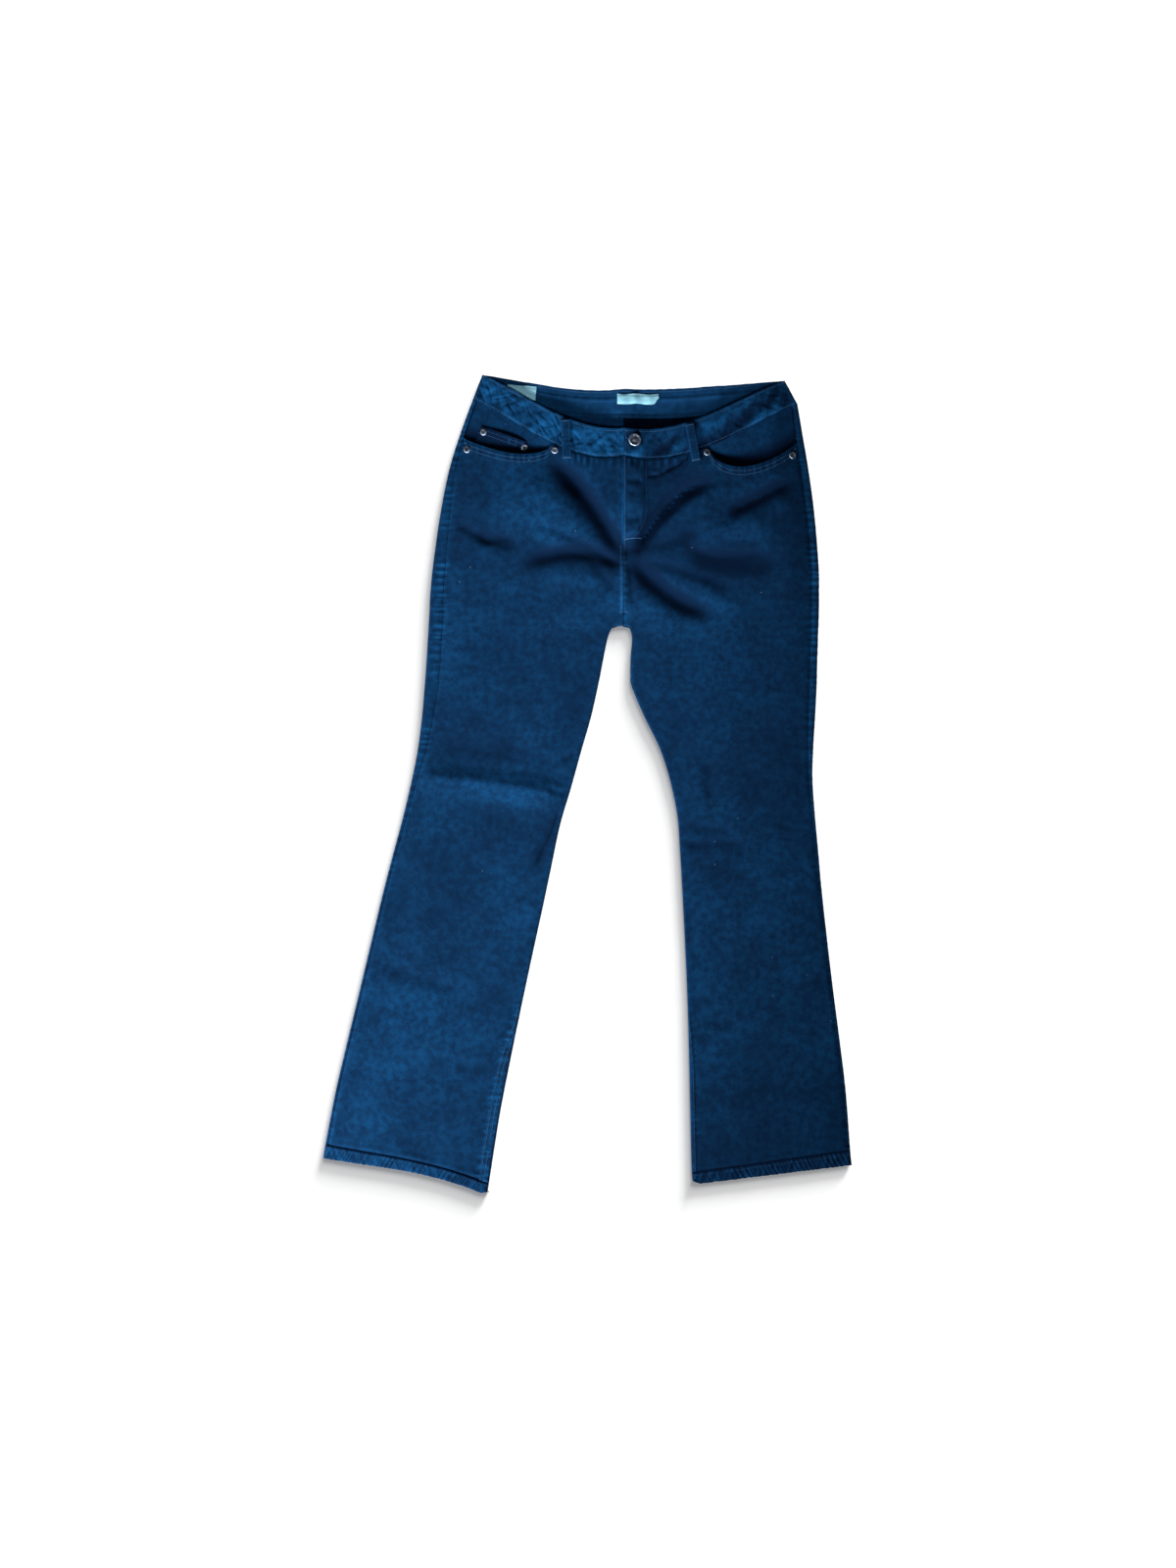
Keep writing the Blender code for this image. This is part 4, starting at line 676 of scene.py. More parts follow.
def sew(name, lines, seed, pitch=STITCH_PITCH, length=STITCH_LENGTH, width=STITCH_WIDTH):
    """Stitches along these lines, as one plain mesh."""
    vertices, edges = [], []
    for line in lines:
        start = len(vertices)
        vertices += (np.asarray(line) * MM).tolist()
        edges += [(start + step, start + step + 1) for step in range(len(line) - 1)]
    guide = bpy.data.meshes.new(f"{name}_guide")
    guide.from_pydata(vertices, edges, [])
    piece = add_object(name, guide)
    values = {"Pitch": pitch * MM, "Length": length * MM, "Width": width * MM, "Height": STITCH_HEIGHT * MM,
              "Unevenness": 0.2, "Seed": seed, "Thread": thread}
    modifier = piece.modifiers.new("stitching", "NODES")
    modifier.node_group = stitching
    for label, value in values.items():
        modifier[stitch_sockets[label]] = value
    shown = piece.evaluated_get(bpy.context.evaluated_depsgraph_get())
    mesh = bpy.data.meshes.new_from_object(shown)
    mesh.name = name
    piece.modifiers.clear()
    piece.data = mesh
    bpy.data.meshes.remove(guide)
    mesh.shade_smooth()
    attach(piece, "root")
    return piece


def blend_colours(tree, factor, first, second):
    """A Mix node between two colours, each a socket or a value. Returns its result."""
    ends = [(0, factor), (6, first), (7, second)]
    return add_node(tree, "ShaderNodeMix", ends, data_type="RGBA").outputs[2]


def between(tree, value, low, high, out_low=0.0, out_high=1.0):
    """A Map Range node, smooth and clamped. Returns its result."""
    return add_node(tree, "ShaderNodeMapRange", interpolation_type="SMOOTHSTEP", inputs=[
        ("Value", value), ("From Min", low), ("From Max", high), ("To Min", out_low), ("To Max", out_high),
    ]).outputs["Result"]


def figure(tree, operation, first, second=0.0):
    """A Math node on two values, each a socket or a number. Returns its result."""
    return add_node(tree, "ShaderNodeMath", [(0, first), (1, second)], operation=operation).outputs[0]


def group(name, inputs, outputs):
    """An empty shader node group with named sockets. Returns it with its two ends."""
    tree = bpy.data.node_groups.new(name, "ShaderNodeTree")
    for label, kind, value in inputs:
        socket = tree.interface.new_socket(label, in_out="INPUT", socket_type=kind)
        if value is not None:
            socket.default_value = value
    for label, kind in outputs:
        tree.interface.new_socket(label, in_out="OUTPUT", socket_type=kind)
    return tree, tree.nodes.new("NodeGroupInput"), tree.nodes.new("NodeGroupOutput")


# Twill: warp threads pass over the weft in steps, so fine diagonal ribs run across the cloth.
RIB = 0.0011           # metres from one rib of the denim to the next
twill, twill_in, twill_out = group(
    "twill",
    [("Threads", "NodeSocketVector", None), ("Rib", "NodeSocketFloat", RIB)],
    [("Height", "NodeSocketFloat")],
)
twill_split = add_node(twill, "ShaderNodeSeparateXYZ", [(0, twill_in.outputs["Threads"])])
slanted = figure(twill, "MULTIPLY", twill_split.outputs["Y"], 0.7)
ribs = figure(twill, "ADD", twill_split.outputs["X"], slanted)
ribs = figure(twill, "DIVIDE", ribs, twill_in.outputs["Rib"])
ribs = figure(twill, "SINE", figure(twill, "MULTIPLY", ribs, 2.0 * math.pi))
picks = figure(twill, "DIVIDE", twill_split.outputs["Y"], twill_in.outputs["Rib"])
picks = figure(twill, "SINE", figure(twill, "MULTIPLY", picks, 4.0 * math.pi))
twill_height = figure(twill, "ADD", ribs, figure(twill, "MULTIPLY", picks, 0.35))
twill.links.new(twill_height, twill_out.inputs["Height"])

# Wash: indigo that has come away unevenly, in soft blotches of two sizes, and most where the Wear input is
# high; that input also paints shade, dark in hollows and grooves.
wash, wash_in, wash_out = group(
    "wash",
    [
        ("Place", "NodeSocketVector", None),
        ("Wear", "NodeSocketFloat", 0.0),
        ("Deep", "NodeSocketColor", (0.0025, 0.033, 0.105, 1.0)),
        ("Faded", "NodeSocketColor", (0.010, 0.085, 0.235, 1.0)),
        ("Fluff", "NodeSocketColor", (0.16, 0.26, 0.38, 1.0)),
    ],
    [("Colour", "NodeSocketColor"), ("Grain", "NodeSocketFloat")],
)


def mottle(tree, place, size, detail, low, high):
    """Noise of this size in metres, spread over a range of its values to 0 and 1."""
    noise = add_node(tree, "ShaderNodeTexNoise", [
        ("Vector", place), ("Scale", 1.0 / size), ("Detail", detail), ("Roughness", 0.6),
    ])
    return between(tree, noise.outputs["Fac"], low, high)


blotches = mottle(wash, wash_in.outputs["Place"], 0.045, 3.0, 0.3, 0.7)
grain = mottle(wash, wash_in.outputs["Place"], 0.009, 3.0, 0.28, 0.72)
fading_and_shade = figure(wash, "MULTIPLY", blotches, 0.30)
fading_and_shade = figure(wash, "ADD", fading_and_shade, figure(wash, "MULTIPLY", grain, 0.60))
fading_and_shade = figure(wash, "MULTIPLY", figure(wash, "ADD", fading_and_shade, 0.55), wash_in.outputs["Wear"])
fading_and_shade = between(wash, fading_and_shade, 0.0, 1.2)
indigo = blend_colours(wash, fading_and_shade, wash_in.outputs["Deep"], wash_in.outputs["Faded"])
fluff = add_node(wash, "ShaderNodeTexVoronoi", [("Vector", wash_in.outputs["Place"]), ("Scale", 1.0 / 0.016)])
fluff_pick = add_node(wash, "ShaderNodeSeparateColor", [(0, fluff.outputs["Color"])])
speck = between(wash, fluff.outputs["Distance"], 0.035, 0.075, 1.0, 0.0)
speck = figure(wash, "MULTIPLY", speck, between(wash, fluff_pick.outputs[0], 0.8, 0.95))
speck = figure(wash, "MULTIPLY", speck, 0.5)
wash.links.new(blend_colours(wash, speck, indigo, wash_in.outputs["Fluff"]), wash_out.inputs["Colour"])
wash.links.new(grain, wash_out.inputs["Grain"])


def weave(tree, rib):
    """The twill's height along the cloth's own threads, its ribs this far apart in metres."""
    threads = add_node(tree, "ShaderNodeUVMap", uv_map="threads")
    woven = add_node(tree, "ShaderNodeGroup", node_tree=twill, inputs=[
        ("Threads", threads.outputs["UV"]), ("Rib", rib),
    ])
    return woven.outputs["Height"]


def raise_surface(tree, shader, height, strength, distance):
    """Let a height show as bump on a material."""
    bump = add_node(tree, "ShaderNodeBump", [
        ("Strength", strength), ("Distance", distance), ("Height", height),
    ])
    tree.links.new(bump.outputs["Normal"], shader.inputs["Normal"])


def denim_finish(name, deep, faded):
    """Indigo denim: matt twill with a dull nap, washed out on its crests and drawn darker where the wear
    attribute paints shade.
    """
    finish, tree, shader = add_material(
        name, Roughness=0.88, Specular_IOR_Level=0.08, Sheen_Weight=0.03, Sheen_Roughness=0.5,
        Sheen_Tint=(0.08, 0.4, 1.0, 1.0),
    )
    place = add_node(tree, "ShaderNodeTexCoord")
    wear = add_node(tree, "ShaderNodeAttribute", attribute_name="wear")
    washed = add_node(tree, "ShaderNodeGroup", node_tree=wash, inputs=[
        ("Deep", (*deep, 1.0)), ("Faded", (*faded, 1.0)),
        ("Place", place.outputs["Object"]), ("Wear", wear.outputs["Fac"]),
    ])
    tree.links.new(washed.outputs["Colour"], shader.inputs["Base Color"])
    woven = weave(tree, RIB)
    height = figure(tree, "ADD", figure(tree, "MULTIPLY", woven, 0.35), washed.outputs["Grain"])
    raise_surface(tree, shader, height, 0.35, 0.0006)
    return finish


denim = denim_finish("denim", (0.0007, 0.013, 0.047), (0.0055, 0.098, 0.285))
# A paler copy of the denim for the inside of the back waistband: partly the paler back of the weave, partly
# painted light on that inside.
denim_inside = denim_finish("denim_inside", (0.0018, 0.024, 0.078), (0.0070, 0.100, 0.280))

thread, thread_tree, thread_shader = add_material("thread", Roughness=0.6, Specular_IOR_Level=0.35)
thread_place = add_node(thread_tree, "ShaderNodeTexCoord")
thread_tone = mottle(thread_tree, thread_place.outputs["Object"], 0.002, 1.0, 0.3, 0.7)
thread_colour = blend_colours(thread_tree, thread_tone, (0.028, 0.105, 0.25, 1.0), (0.07, 0.19, 0.38, 1.0))
thread_tree.links.new(thread_colour, thread_shader.inputs["Base Color"])

# How strongly the outseam and the inseam pucker down the leg: a height and the depth there.
OUTSEAM_PUCKERS = {
    "right": {-560: 0.3, -60: 0.35, 120: 0.6, 180: 0.95, 300: 0.95, 360: 0.7, 520: 0.5},
    "left": {-560: 0.25, 0: 0.35, 110: 0.5, 330: 0.6, 380: 0.4, 520: 0.35},
}
INSEAM_PUCKERS = {
    "right": {-560: 0.7, -340: 0.6, -270: 0.25, 220: 0.25},
    "left": {-560: 0.35, -300: 0.3, 220: 0.25},
}
PUCKER_PERIOD = 9.0
SEAM_SINK = {"right": 1.2, "left": 0.8}        # how far cloth is drawn down beside a seam
SEED = {"right": 11, "left": 57}


def value_at(table, place):
    """What a table gives at a place, evenly between its rows."""
    return np.interp(place, list(table), list(table.values()))


def outseam_relief(side, y, beside):
    """Puckers along the outseam, strongest a little outside it, and the seam's own furrow."""
    depth = value_at(OUTSEAM_PUCKERS[side], y)
    puckers = rungs(y, beside + 4.0, PUCKER_PERIOD, 8.0, depth, SEED[side])
    return puckers, puckers - SEAM_SINK[side] * hump(beside, 3.2)


BACK_ROWS = 400
BACK_STRIP_CELLS = 16       # from the outseam to the outer edge, on the front
BACK_ROLL_CELLS = 8
BACK_UNDER_CELLS = 40


def rolled(radius, cells):
    """Distances from an edge that divide its roll evenly, from the edge to where it is flat."""
    angles = np.linspace(0.0, math.pi / 2, cells + 1)
    return np.asarray(radius)[..., None] * (1.0 - np.cos(angles))


def back_columns(section):
    """Column positions round the back: from the outseam on the front, round the edge and across."""
    roll, width = section.roll, row_width(section)
    quarter = math.pi / 2 * roll
    reach = quarter + section.seam - roll - SEAM_GAP
    distances = []
    for share in np.linspace(1.0, 0.0, BACK_STRIP_CELLS + 1)[:-1]:
        arc = reach * share
        bent = roll * (1.0 - np.cos(np.minimum(arc / roll, math.pi / 2)))
        distances.append(bent + np.maximum(arc - quarter, 0.0))
    turns = 1.0 - np.cos(np.linspace(0.0, math.pi / 2, BACK_ROLL_CELLS + 1))
    distances += [roll * turn for turn in turns]
    distances += [roll + share * (width - 2.0 * roll) for share in even_shares(BACK_UNDER_CELLS)[1:-1]]
    distances += [width - roll * turn for turn in turns[::-1]]
    return np.stack(distances, axis=-1), np.arange(len(distances)) < BACK_STRIP_CELLS


def back_half(side, stations):
    """A grid round the back of a half at these stations, and how washed out its seam's puckers are."""
    section = section_at(side, stations, "back")
    distances, upper = back_columns(section)
    column = np.arange(len(upper))
    distances = distances[:, column, column]
    over = skin(side, stations, distances, True, "front")
    under = skin(side, stations, distances, False, "back")
    points = np.where(upper[:, None], over, under)
    beside = distances - section.seam
    puckers, relief = outseam_relief(side, points[..., 1], beside)
    at_top = upper * (1.0 - roll_off(distances, section.roll) / section.roll)
    points[..., 2] += relief * at_top
    notch = 0.5 * puckers * hump(distances, 6.0)
    points[..., 0] += INWARD[side] * notch
    return points, 0.38 + 0.9 * np.clip(puckers * at_top, 0.0, 1.0)


def yoke_seam_station(columns):
    """The yoke's lower seam, by column: level round the side, then falling to the centre back."""
    first = BACK_STRIP_CELLS + 2 * BACK_ROLL_CELLS
    inward = np.clip(np.arange(columns) - first, 0, None)
    return STATION["pocket"] + YOKE_FALL * inward / inward.max()


LOOP_WIDTH = 12.0
BACK_LOOPS_X = (-70.0, CENTRE_X, 170.0)
BACK_LOOP_LIFT = 2.3
BACK_LOOP_EASE = (3.0, 14.0)      # how far beyond its edge the band starts to fall, and lies flat


def loop_lift(x):
    """How far the back of the waistband rises over the belt loops that lie under it."""
    lift = np.zeros(np.shape(x))
    for loop_x in BACK_LOOPS_X:
        start, end = BACK_LOOP_EASE
        beyond = np.abs(x - loop_x) - LOOP_WIDTH / 2
        lift = np.maximum(lift, BACK_LOOP_LIFT * (1.0 - ease(beyond - start, end - start)))
    return lift


BACK_COLUMNS = BACK_STRIP_CELLS + BACK_ROLL_CELLS + BACK_UNDER_CELLS + BACK_ROLL_CELLS + 1
YOKE_ROWS = 24
SEAT_ROWS = 48
YOKE_TOP_GAP = 0.003        # at the yoke's two seams, in sections
YOKE_FOOT_GAP = 0.006
YOKE_STITCHES = (2.5, 8.0)         # rows: how far below the yoke, from the centre back and the inseam
SEAT_STITCHES = (4.0, 9.5)
INSEAM_STITCHES = (7.0, 12.5)
YOKE_STITCHES_END = -8             # columns short of the centre back
backs = {}
under_columns = slice(BACK_STRIP_CELLS + BACK_ROLL_CELLS, None)
for side in LEGS:
    seam = yoke_seam_station(BACK_COLUMNS) + YOKE_FOOT_GAP
    part = even_shares(SEAT_ROWS)[:-1, None]
    upper_rows = seam + (STATION["seat"] - seam) * part
    lower_rows = even_stations(side, "seat", "hem_top", BACK_ROWS - SEAT_ROWS)[:, None]
    stations = np.concatenate([upper_rows, np.broadcast_to(lower_rows, (len(lower_rows), BACK_COLUMNS))])
    points, worn_and_shaded = back_half(side, stations)
    backs[side] = cloth(f"back_{side}_cloth", points, DENIM, DOWN, worn_and_shaded)
    width = np.linalg.norm(points[:, -1] - points[:, BACK_STRIP_CELLS], axis=-1)
    fork = int(np.argmax(lower_rows[:, 0] >= STATION["crotch"])) + SEAT_ROWS
    from_edge = np.linalg.norm(points - points[:, BACK_STRIP_CELLS][:, None], axis=-1)
    under = points[:, under_columns]
    to_centre = (width[:, None] - from_edge)[:, under_columns]
    from_yoke = run_along(under, 0)
    level = slice(None, YOKE_STITCHES_END)
    lines = [contour(under[:, level], from_yoke[:, level], inset, 0) for inset in YOKE_STITCHES]
    lines += [contour(under, -to_centre, -inset, 1)[:fork] for inset in SEAT_STITCHES]
    lines += [contour(under, -to_centre, -inset, 1)[fork:] for inset in INSEAM_STITCHES]
    seams = sew(f"back_{side}_stitches", lines, SEED[side])
    dress(backs[side], points, [f"back_{side}", f"outseam_{side}"], denim)


# ------------------------------------------------------------------------------------------------
# Yokes: a shaped strip of the same denim between each back and the waistband, felled to both.
yokes = {}
for side in LEGS:
    seam = yoke_seam_station(BACK_COLUMNS)
    part = even_shares(YOKE_ROWS)[:, None]
    stations = YOKE_TOP_GAP + (seam - YOKE_TOP_GAP) * part
    points, worn_and_shaded = back_half(side, stations)
    points[:, under_columns, 2] += loop_lift(points[:, under_columns, 0]) * (1.0 - ease(part, 0.6))
    yokes[side] = cloth(f"yoke_{side}_cloth", points, DENIM, DOWN, worn_and_shaded, skip=2)
    dress(yokes[side], points, [f"yoke_{side}"], denim)


# ------------------------------------------------------------------------------------------------
# Fronts: one layer of the same denim. The top edge is cut away for the pocket's mouth, where it is
# turned in and stitched twice, and the left front laps over the right one at the fly.
Edge = namedtuple("Edge", "outer_x outer_y inner_x inner_y sag")
POCKET_MOUTH = {
    "right": Edge(-171.5, 474.7, -50.0, 466.0, 17.5),
    "left": Edge(287.4, 467.9, 165.4, 464.5, 32.0),
}
MOUTH_FULLNESS = 0.6     # below 1 the opening is rounder than a parabola
FRONT_TOP_ROWS = 32
FRONT_ROWS = 440
FRONT_COLUMNS = 200
FRONT_FOOT_CELLS = 14     # closer rows just above the hem
FRONT_ROLL_CELLS = 8
EDGE_CROWDING = 0.4      # how much closer the columns stand at the edges

# The dye is drawn paler on raised cloth, where it has faded, and darker in hollows, which is painted
# shade; the table also paints shade over the left hip and the left hem. How much on the plain cloth at
# a height on the leg, and how much more for each millimetre that the cloth rises.
FADE_AND_SHADE = {
    "right": {-540: 0.41, -350: 0.39, -50: 0.35, 120: 0.32, 220: 0.38, 370: 0.36},
    "left": {-500: 0.28, -350: 0.39, -50: 0.33, 130: 0.32, 240: 0.37, 360: 0.25},
}
FADE_AND_SHADE_BY_HEIGHT = 0.07

# Creases that are smaller than the solids' folds.
CREASES = [
    Fold("fly_pad_top",               56.0,  434.2,   68.2,  430.1,   0.0,  6.6,  1.5),
    Fold("fly_hollow_top",            54.7,  415.3,   73.6,  415.3,   0.0,  4.9, -1.7),
    Fold("fly_pad_middle",            54.7,  389.6,   81.7,  386.9,   0.0,  9.6,  1.1),
    Fold("fly_hollow_low",            52.0,  362.6,   72.2,  362.6,   0.0,  6.3, -2.0),
    Fold("fly_pad_foot",              52.0,  345.1,   72.2,  344.4,   0.0,  6.0,  0.9),
    Fold("fly_foot_shade",            46.6,  320.8,   74.9,  322.1,   0.0,  7.0, -1.8),
    Fold("fly_corner_crease",        139.7,  452.1,  107.3,  428.8,   2.0,  3.3, -2.4),
    Fold("fly_corner_tail",          107.3,  428.8,   84.4,  421.3,   1.4,  2.9, -1.8),
    Fold("fly_corner_glint",          89.8,  426.7,  100.6,  425.4,   0.0,  2.6,  1.2),
    Fold("left_whisker_foot",        122.0,  383.0,   74.0,  331.0,  -4.0,  6.0, -3.6),
    Fold("right_whisker_deep",       -50.9,  449.7,   39.0,  309.0,  -1.4, 13.1, -2.2),
    Fold("right_whisker_head",       -53.3,  440.9,  -15.5,  396.4,   0.0, 10.0, -0.8),
    Fold("right_swell_crest",       -106.0,  434.2,   27.3,  324.8,   4.1, 15.4,  1.5),
    Fold("right_swell_foot",         -66.8,  354.5,   38.5,  305.1,   2.7,  5.9, -1.5),
    Fold("right_hip_crease",        -177.5,  354.5, -134.3,  331.6,   0.0,  5.9, -1.8),
    Fold("right_hip_crease_tail",   -137.0,  332.9, -107.3,  338.3,   0.0,  5.9, -1.1),
    Fold("right_fork_shadow",        -79.0,  307.3,   42.5,  301.2,  14.0, 10.0, -1.7),
    Fold("right_fork_light",         -58.7,  288.4,   16.9,  278.9,   0.0, 10.6,  0.9),
    Fold("right_fork_tuck",            8.8,  303.2,   33.1,  269.5,   0.0,  8.4, -1.4),
    Fold("left_whisker_head",        161.3,  426.1,  103.3,  374.8,  -4.1,  9.5, -2.4),
    Fold("left_whisker_crest",       184.3,  407.2,  101.9,  338.3,  -6.8, 10.6,  1.4),
    Fold("left_drag_deep",           278.8,  416.6,  187.0,  361.3,  -2.7, 10.6, -2.6),
    Fold("left_drag_crest",          259.9,  423.4,  192.4,  391.0,   0.0, 10.6,  1.2),
    Fold("left_drag_foot",           276.1,  391.0,  223.4,  353.2,   0.0, 10.6,  1.1),
    Fold("left_drag_tail",           189.7,  362.6,   87.1,  322.1,   2.7,  9.5, -1.5),
    Fold("left_seat_line",           143.8,  320.8,  236.9,  315.4,  -6.8,  7.1, -1.4),
    Fold("left_fork_deep",            68.2,  301.9,  141.1,  238.4,  -8.1, 12.0, -2.2),
    Fold("left_fork_upper",           80.3,  304.6,  196.4,  268.1,   2.7,  8.4, -1.8),
    Fold("left_fork_swell",          151.9,  264.1,  212.6,  233.0,   0.0, 14.2,  1.4),
    Fold("crotch_seam",               49.7,  312.0,   49.3,  236.0,   0.0,  3.6,  1.6),
    Fold("crotch_hollow_left",        58.0,  300.0,   62.0,  250.0,   0.0,  5.0, -1.8),
    Fold("right_knee_crest",        -232.0,    9.0,  -40.0,  -16.0,   3.0,  6.0,  1.3),
    Fold("right_knee_shade",        -226.0,   27.0,  -48.0,    6.0,   3.0,  8.0, -1.1),
    Fold("right_knee_dent",          -35.0,   32.0,  -19.0,   41.0,   0.0,  4.5, -1.5),
    Fold("right_knee_nick",          -52.0,  -10.0,  -30.0,  -16.0,   0.0,  5.0, -1.5),
    Fold("right_knee_tuck",          -39.8,  -40.2,  -67.2, -105.0,   2.0,  2.2, -1.8),
    Fold("left_calf_line",           141.0, -226.0,  143.0, -170.0,   0.0,  6.0, -0.8),
]
FELL_WIDTH = {"right": 15.0, "left": 7.0}       # the inseam's felled strip, at the hem
FELL_FROM = -277.0                               # it shows from here down
FELL_FULL = -400.0
GROOVE = 2.2             # how deep the cloth dips where it meets the hem
MOUTH_STITCHES = (5.5, 11.0)                     # below the pocket's edge
FELL_STITCHES = (2.0, 7.5)                       # inside the felled strip's edge
CROTCH_TOP = 310.0       # the crossing seams show from here down
FLY_CURVE = [(80.5, 446.0), (80.3, 405.0), (81.5, 390.0), (81.0, 372.0), (77.0, 355.0), (70.0, 343.0),
             (61.0, 336.0), (51.5, 333.5)]
BAND_TOP = {
    "right": Edge(-145.1, 562.5, CENTRE_X, 487.5, 16.0),
    "left": Edge(272.0, 554.3, CENTRE_X, 487.5, 18.2),
}


def edge_point(edge, share, lowest=SAG_AT, fullness=1.0):
    """A point of an edge, a share of the way from its outer end to its inner one."""
    x = edge.outer_x + (edge.inner_x - edge.outer_x) * share
    y = edge.outer_y + (edge.inner_y - edge.outer_y) * share - edge.sag * hang(share, lowest) ** fullness
    return x, y


def band_foot(side):
    """The waistband's seam on the front: x and y along it, in order of x."""
    top = section_at(side, 0.0)
    edge = Edge(top.outer_x, top.outer_y, top.inner_x, top.inner_y, top.sag)
    x, y = edge_point(edge, np.linspace(0.0, 1.0, 200))
    order = np.argsort(x)
    return x[order], y[order]


def front_distances(section):
    """Column positions across a front, closer at its edges, then round the inner edge's roll."""
    start, end = section.seam + SEAM_GAP, row_width(section) - section.roll
    even = np.linspace(0.0, 1.0, FRONT_COLUMNS - FRONT_ROLL_CELLS + 1)
    share = even - EDGE_CROWDING * np.sin(2.0 * np.pi * even) / (2.0 * np.pi)
    flat = start[..., None] + share * (end - start)[..., None]
    inner = row_width(section)[..., None] - rolled(section.roll, FRONT_ROLL_CELLS)[..., ::-1]
    return np.concatenate([flat, inner[..., 1:]], axis=-1)


def fell_strip(side, y):
    """Width of the felled strip that shows inside the inseam's edge."""
    return FELL_WIDTH[side] * ease(FELL_FROM - y, FELL_FROM - FELL_FULL)


def front_relief(side, x, y, outer, inner, seam):
    """What a front adds to the plain skin: how pale it is drawn, with painted shade in its folds' hollows,
    and all of its relief.
    """
    rungs_beside, relief = outseam_relief(side, y, outer - seam)
    strip = fell_strip(side, y)
    from_strip = np.where(y < 240.0, np.maximum(inner - strip, 0.0), 99.0)
    inseam = rungs(y, from_strip, PUCKER_PERIOD, 5.0, value_at(INSEAM_PUCKERS[side], y), SEED[side] + 3)
    puckers = rungs_beside + inseam * ease(inner, 4.0)
    crotch = rungs(y, x - CENTRE_X, 8.0, 5.0, 0.5, SEED[side] + 4)
    puckers = puckers + crotch * ease(FLY_FOOT_Y - y, 20.0) * (y > 225.0)
    step = 0.7 * (1.0 - ease(inner - strip + 1.5, 3.0)) * (strip > 1.0) * ease(inner, 3.0)
    small = unevenness(x, y, SEED[side] + 5) * ease(outer - seam, 15.0) * ease(inner, 15.0)
    creases = fold_heights(x, y, CREASES) * ease(outer - seam, 12.0)
    folds = fold_heights(x, y, FOLDS) + creases
    raised = np.clip(folds, -8.0, 1.5) + 1.5 * small
    # Painted shade: the deeper a fold's hollow, the darker the cloth is drawn; puckers and crests are drawn
    # paler, as real fade.
    worn_and_shaded = np.clip(0.9 * puckers, 0.0, 1.0) + value_at(FADE_AND_SHADE[side], y) + FADE_AND_SHADE_BY_HEIGHT * raised
    return worn_and_shaded, relief + puckers - rungs_beside + step + small + creases


def front_points(side):
    """A front's outer points: its top edge follows the pocket's mouth and then the waistband's seam."""
    stations = even_stations(side, "hip", "hem_top", FRONT_ROWS - FRONT_TOP_ROWS)
    foot = np.linspace(stations[-4], stations[-1], FRONT_FOOT_CELLS + 1)
    stations = np.concatenate([stations[:-4], foot])
    section = section_at(side, stations)
    distances = front_distances(section)
    body = skin(side, np.broadcast_to(stations[:, None], distances.shape), distances, True)
    outer = distances
    seam = np.broadcast_to(section.seam[:, None], distances.shape)

    mouth = POCKET_MOUTH[side]
    share = (distances[0] - distances[0, 0]) / (distances[0, -1] - distances[0, 0])
    x = mouth.outer_x + share * (CENTRE_X - mouth.outer_x)
    mouth_share = (x - mouth.outer_x) / (mouth.inner_x - mouth.outer_x)
    mouth_y = edge_point(mouth, np.clip(mouth_share, 0.0, 1.0), fullness=MOUTH_FULLNESS)[1]
    seam_y = np.interp(x, *band_foot(side)) - BAND_SEAM_GAP
    y = np.where(mouth_share < 1.0, np.minimum(mouth_y, seam_y), seam_y)

    side_stations = np.linspace(STATION["waist"], STATION["hip"], 60)
    side_section = section_at(side, side_stations)
    side_seam = skin(side, side_stations, side_section.seam + 2.0 * SEAM_GAP, np.array(True), "back")
    part = even_shares(FRONT_TOP_ROWS)[:-1, None]
    top_x = x + part * (body[0, :, 0] - x)
    top_y = y + part * (body[0, :, 1] - y)
    seam_x = np.interp(-top_y[:, :1], -side_seam[:, 1], side_seam[:, 0])
    top_x = top_x + (seam_x - top_x[:, :1]) * (1.0 - share) ** 3
    edge_x = np.interp(-top_y, -side_section.outer_y, side_section.outer_x)
    top_outer = np.abs(top_x - edge_x)
    top_z = skin_height(side, section_at(side, 1.0 + part), top_x, top_y, top_outer, True)
    top_seam = np.broadcast_to(top_outer[:, :1], top_x.shape)

    points = np.concatenate([np.stack([top_x, top_y, top_z], axis=-1), body])
    outer = np.concatenate([top_outer, outer])
    seam = np.concatenate([top_seam, seam])
    inner = inner_edge_distance(side, points[..., 0], points[..., 1])
    worn_and_shaded, relief = front_relief(side, points[..., 0], points[..., 1], outer, inner, seam)
    from_top = run_along(points, 0)
    at_mouth = hang(np.clip(mouth_share, 0.0, 1.0), 0.62) ** 1.2
    lip = 2.6 * at_mouth * hump(from_top, 16.0) - 0.6 * hump(from_top, 1.6)
    roping = rungs(points[..., 0], from_top - 6.0, 10.0, 7.0, 0.28, SEED[side] + 9)
    points[..., 2] += relief + lip + roping
    points[:, -1, 0] -= INWARD[side] * SEAM_GAP / 2
    from_foot = from_top[-1] - from_top
    groove = hump(from_foot, 1.3)
    points[..., 2] += GROOVE * (0.4 * hump(from_foot - 5.0, 3.5) - groove)
    # Painted shade: the cloth is drawn dark in the groove where it meets the hem.
    worn_and_shaded = worn_and_shaded * (1.0 - groove)
    edge = 0.5 * hump(from_top, 1.6) * (np.clip(mouth_share, 0.0, 1.0) < 1.0)
    return points, worn_and_shaded + roping + edge, from_top


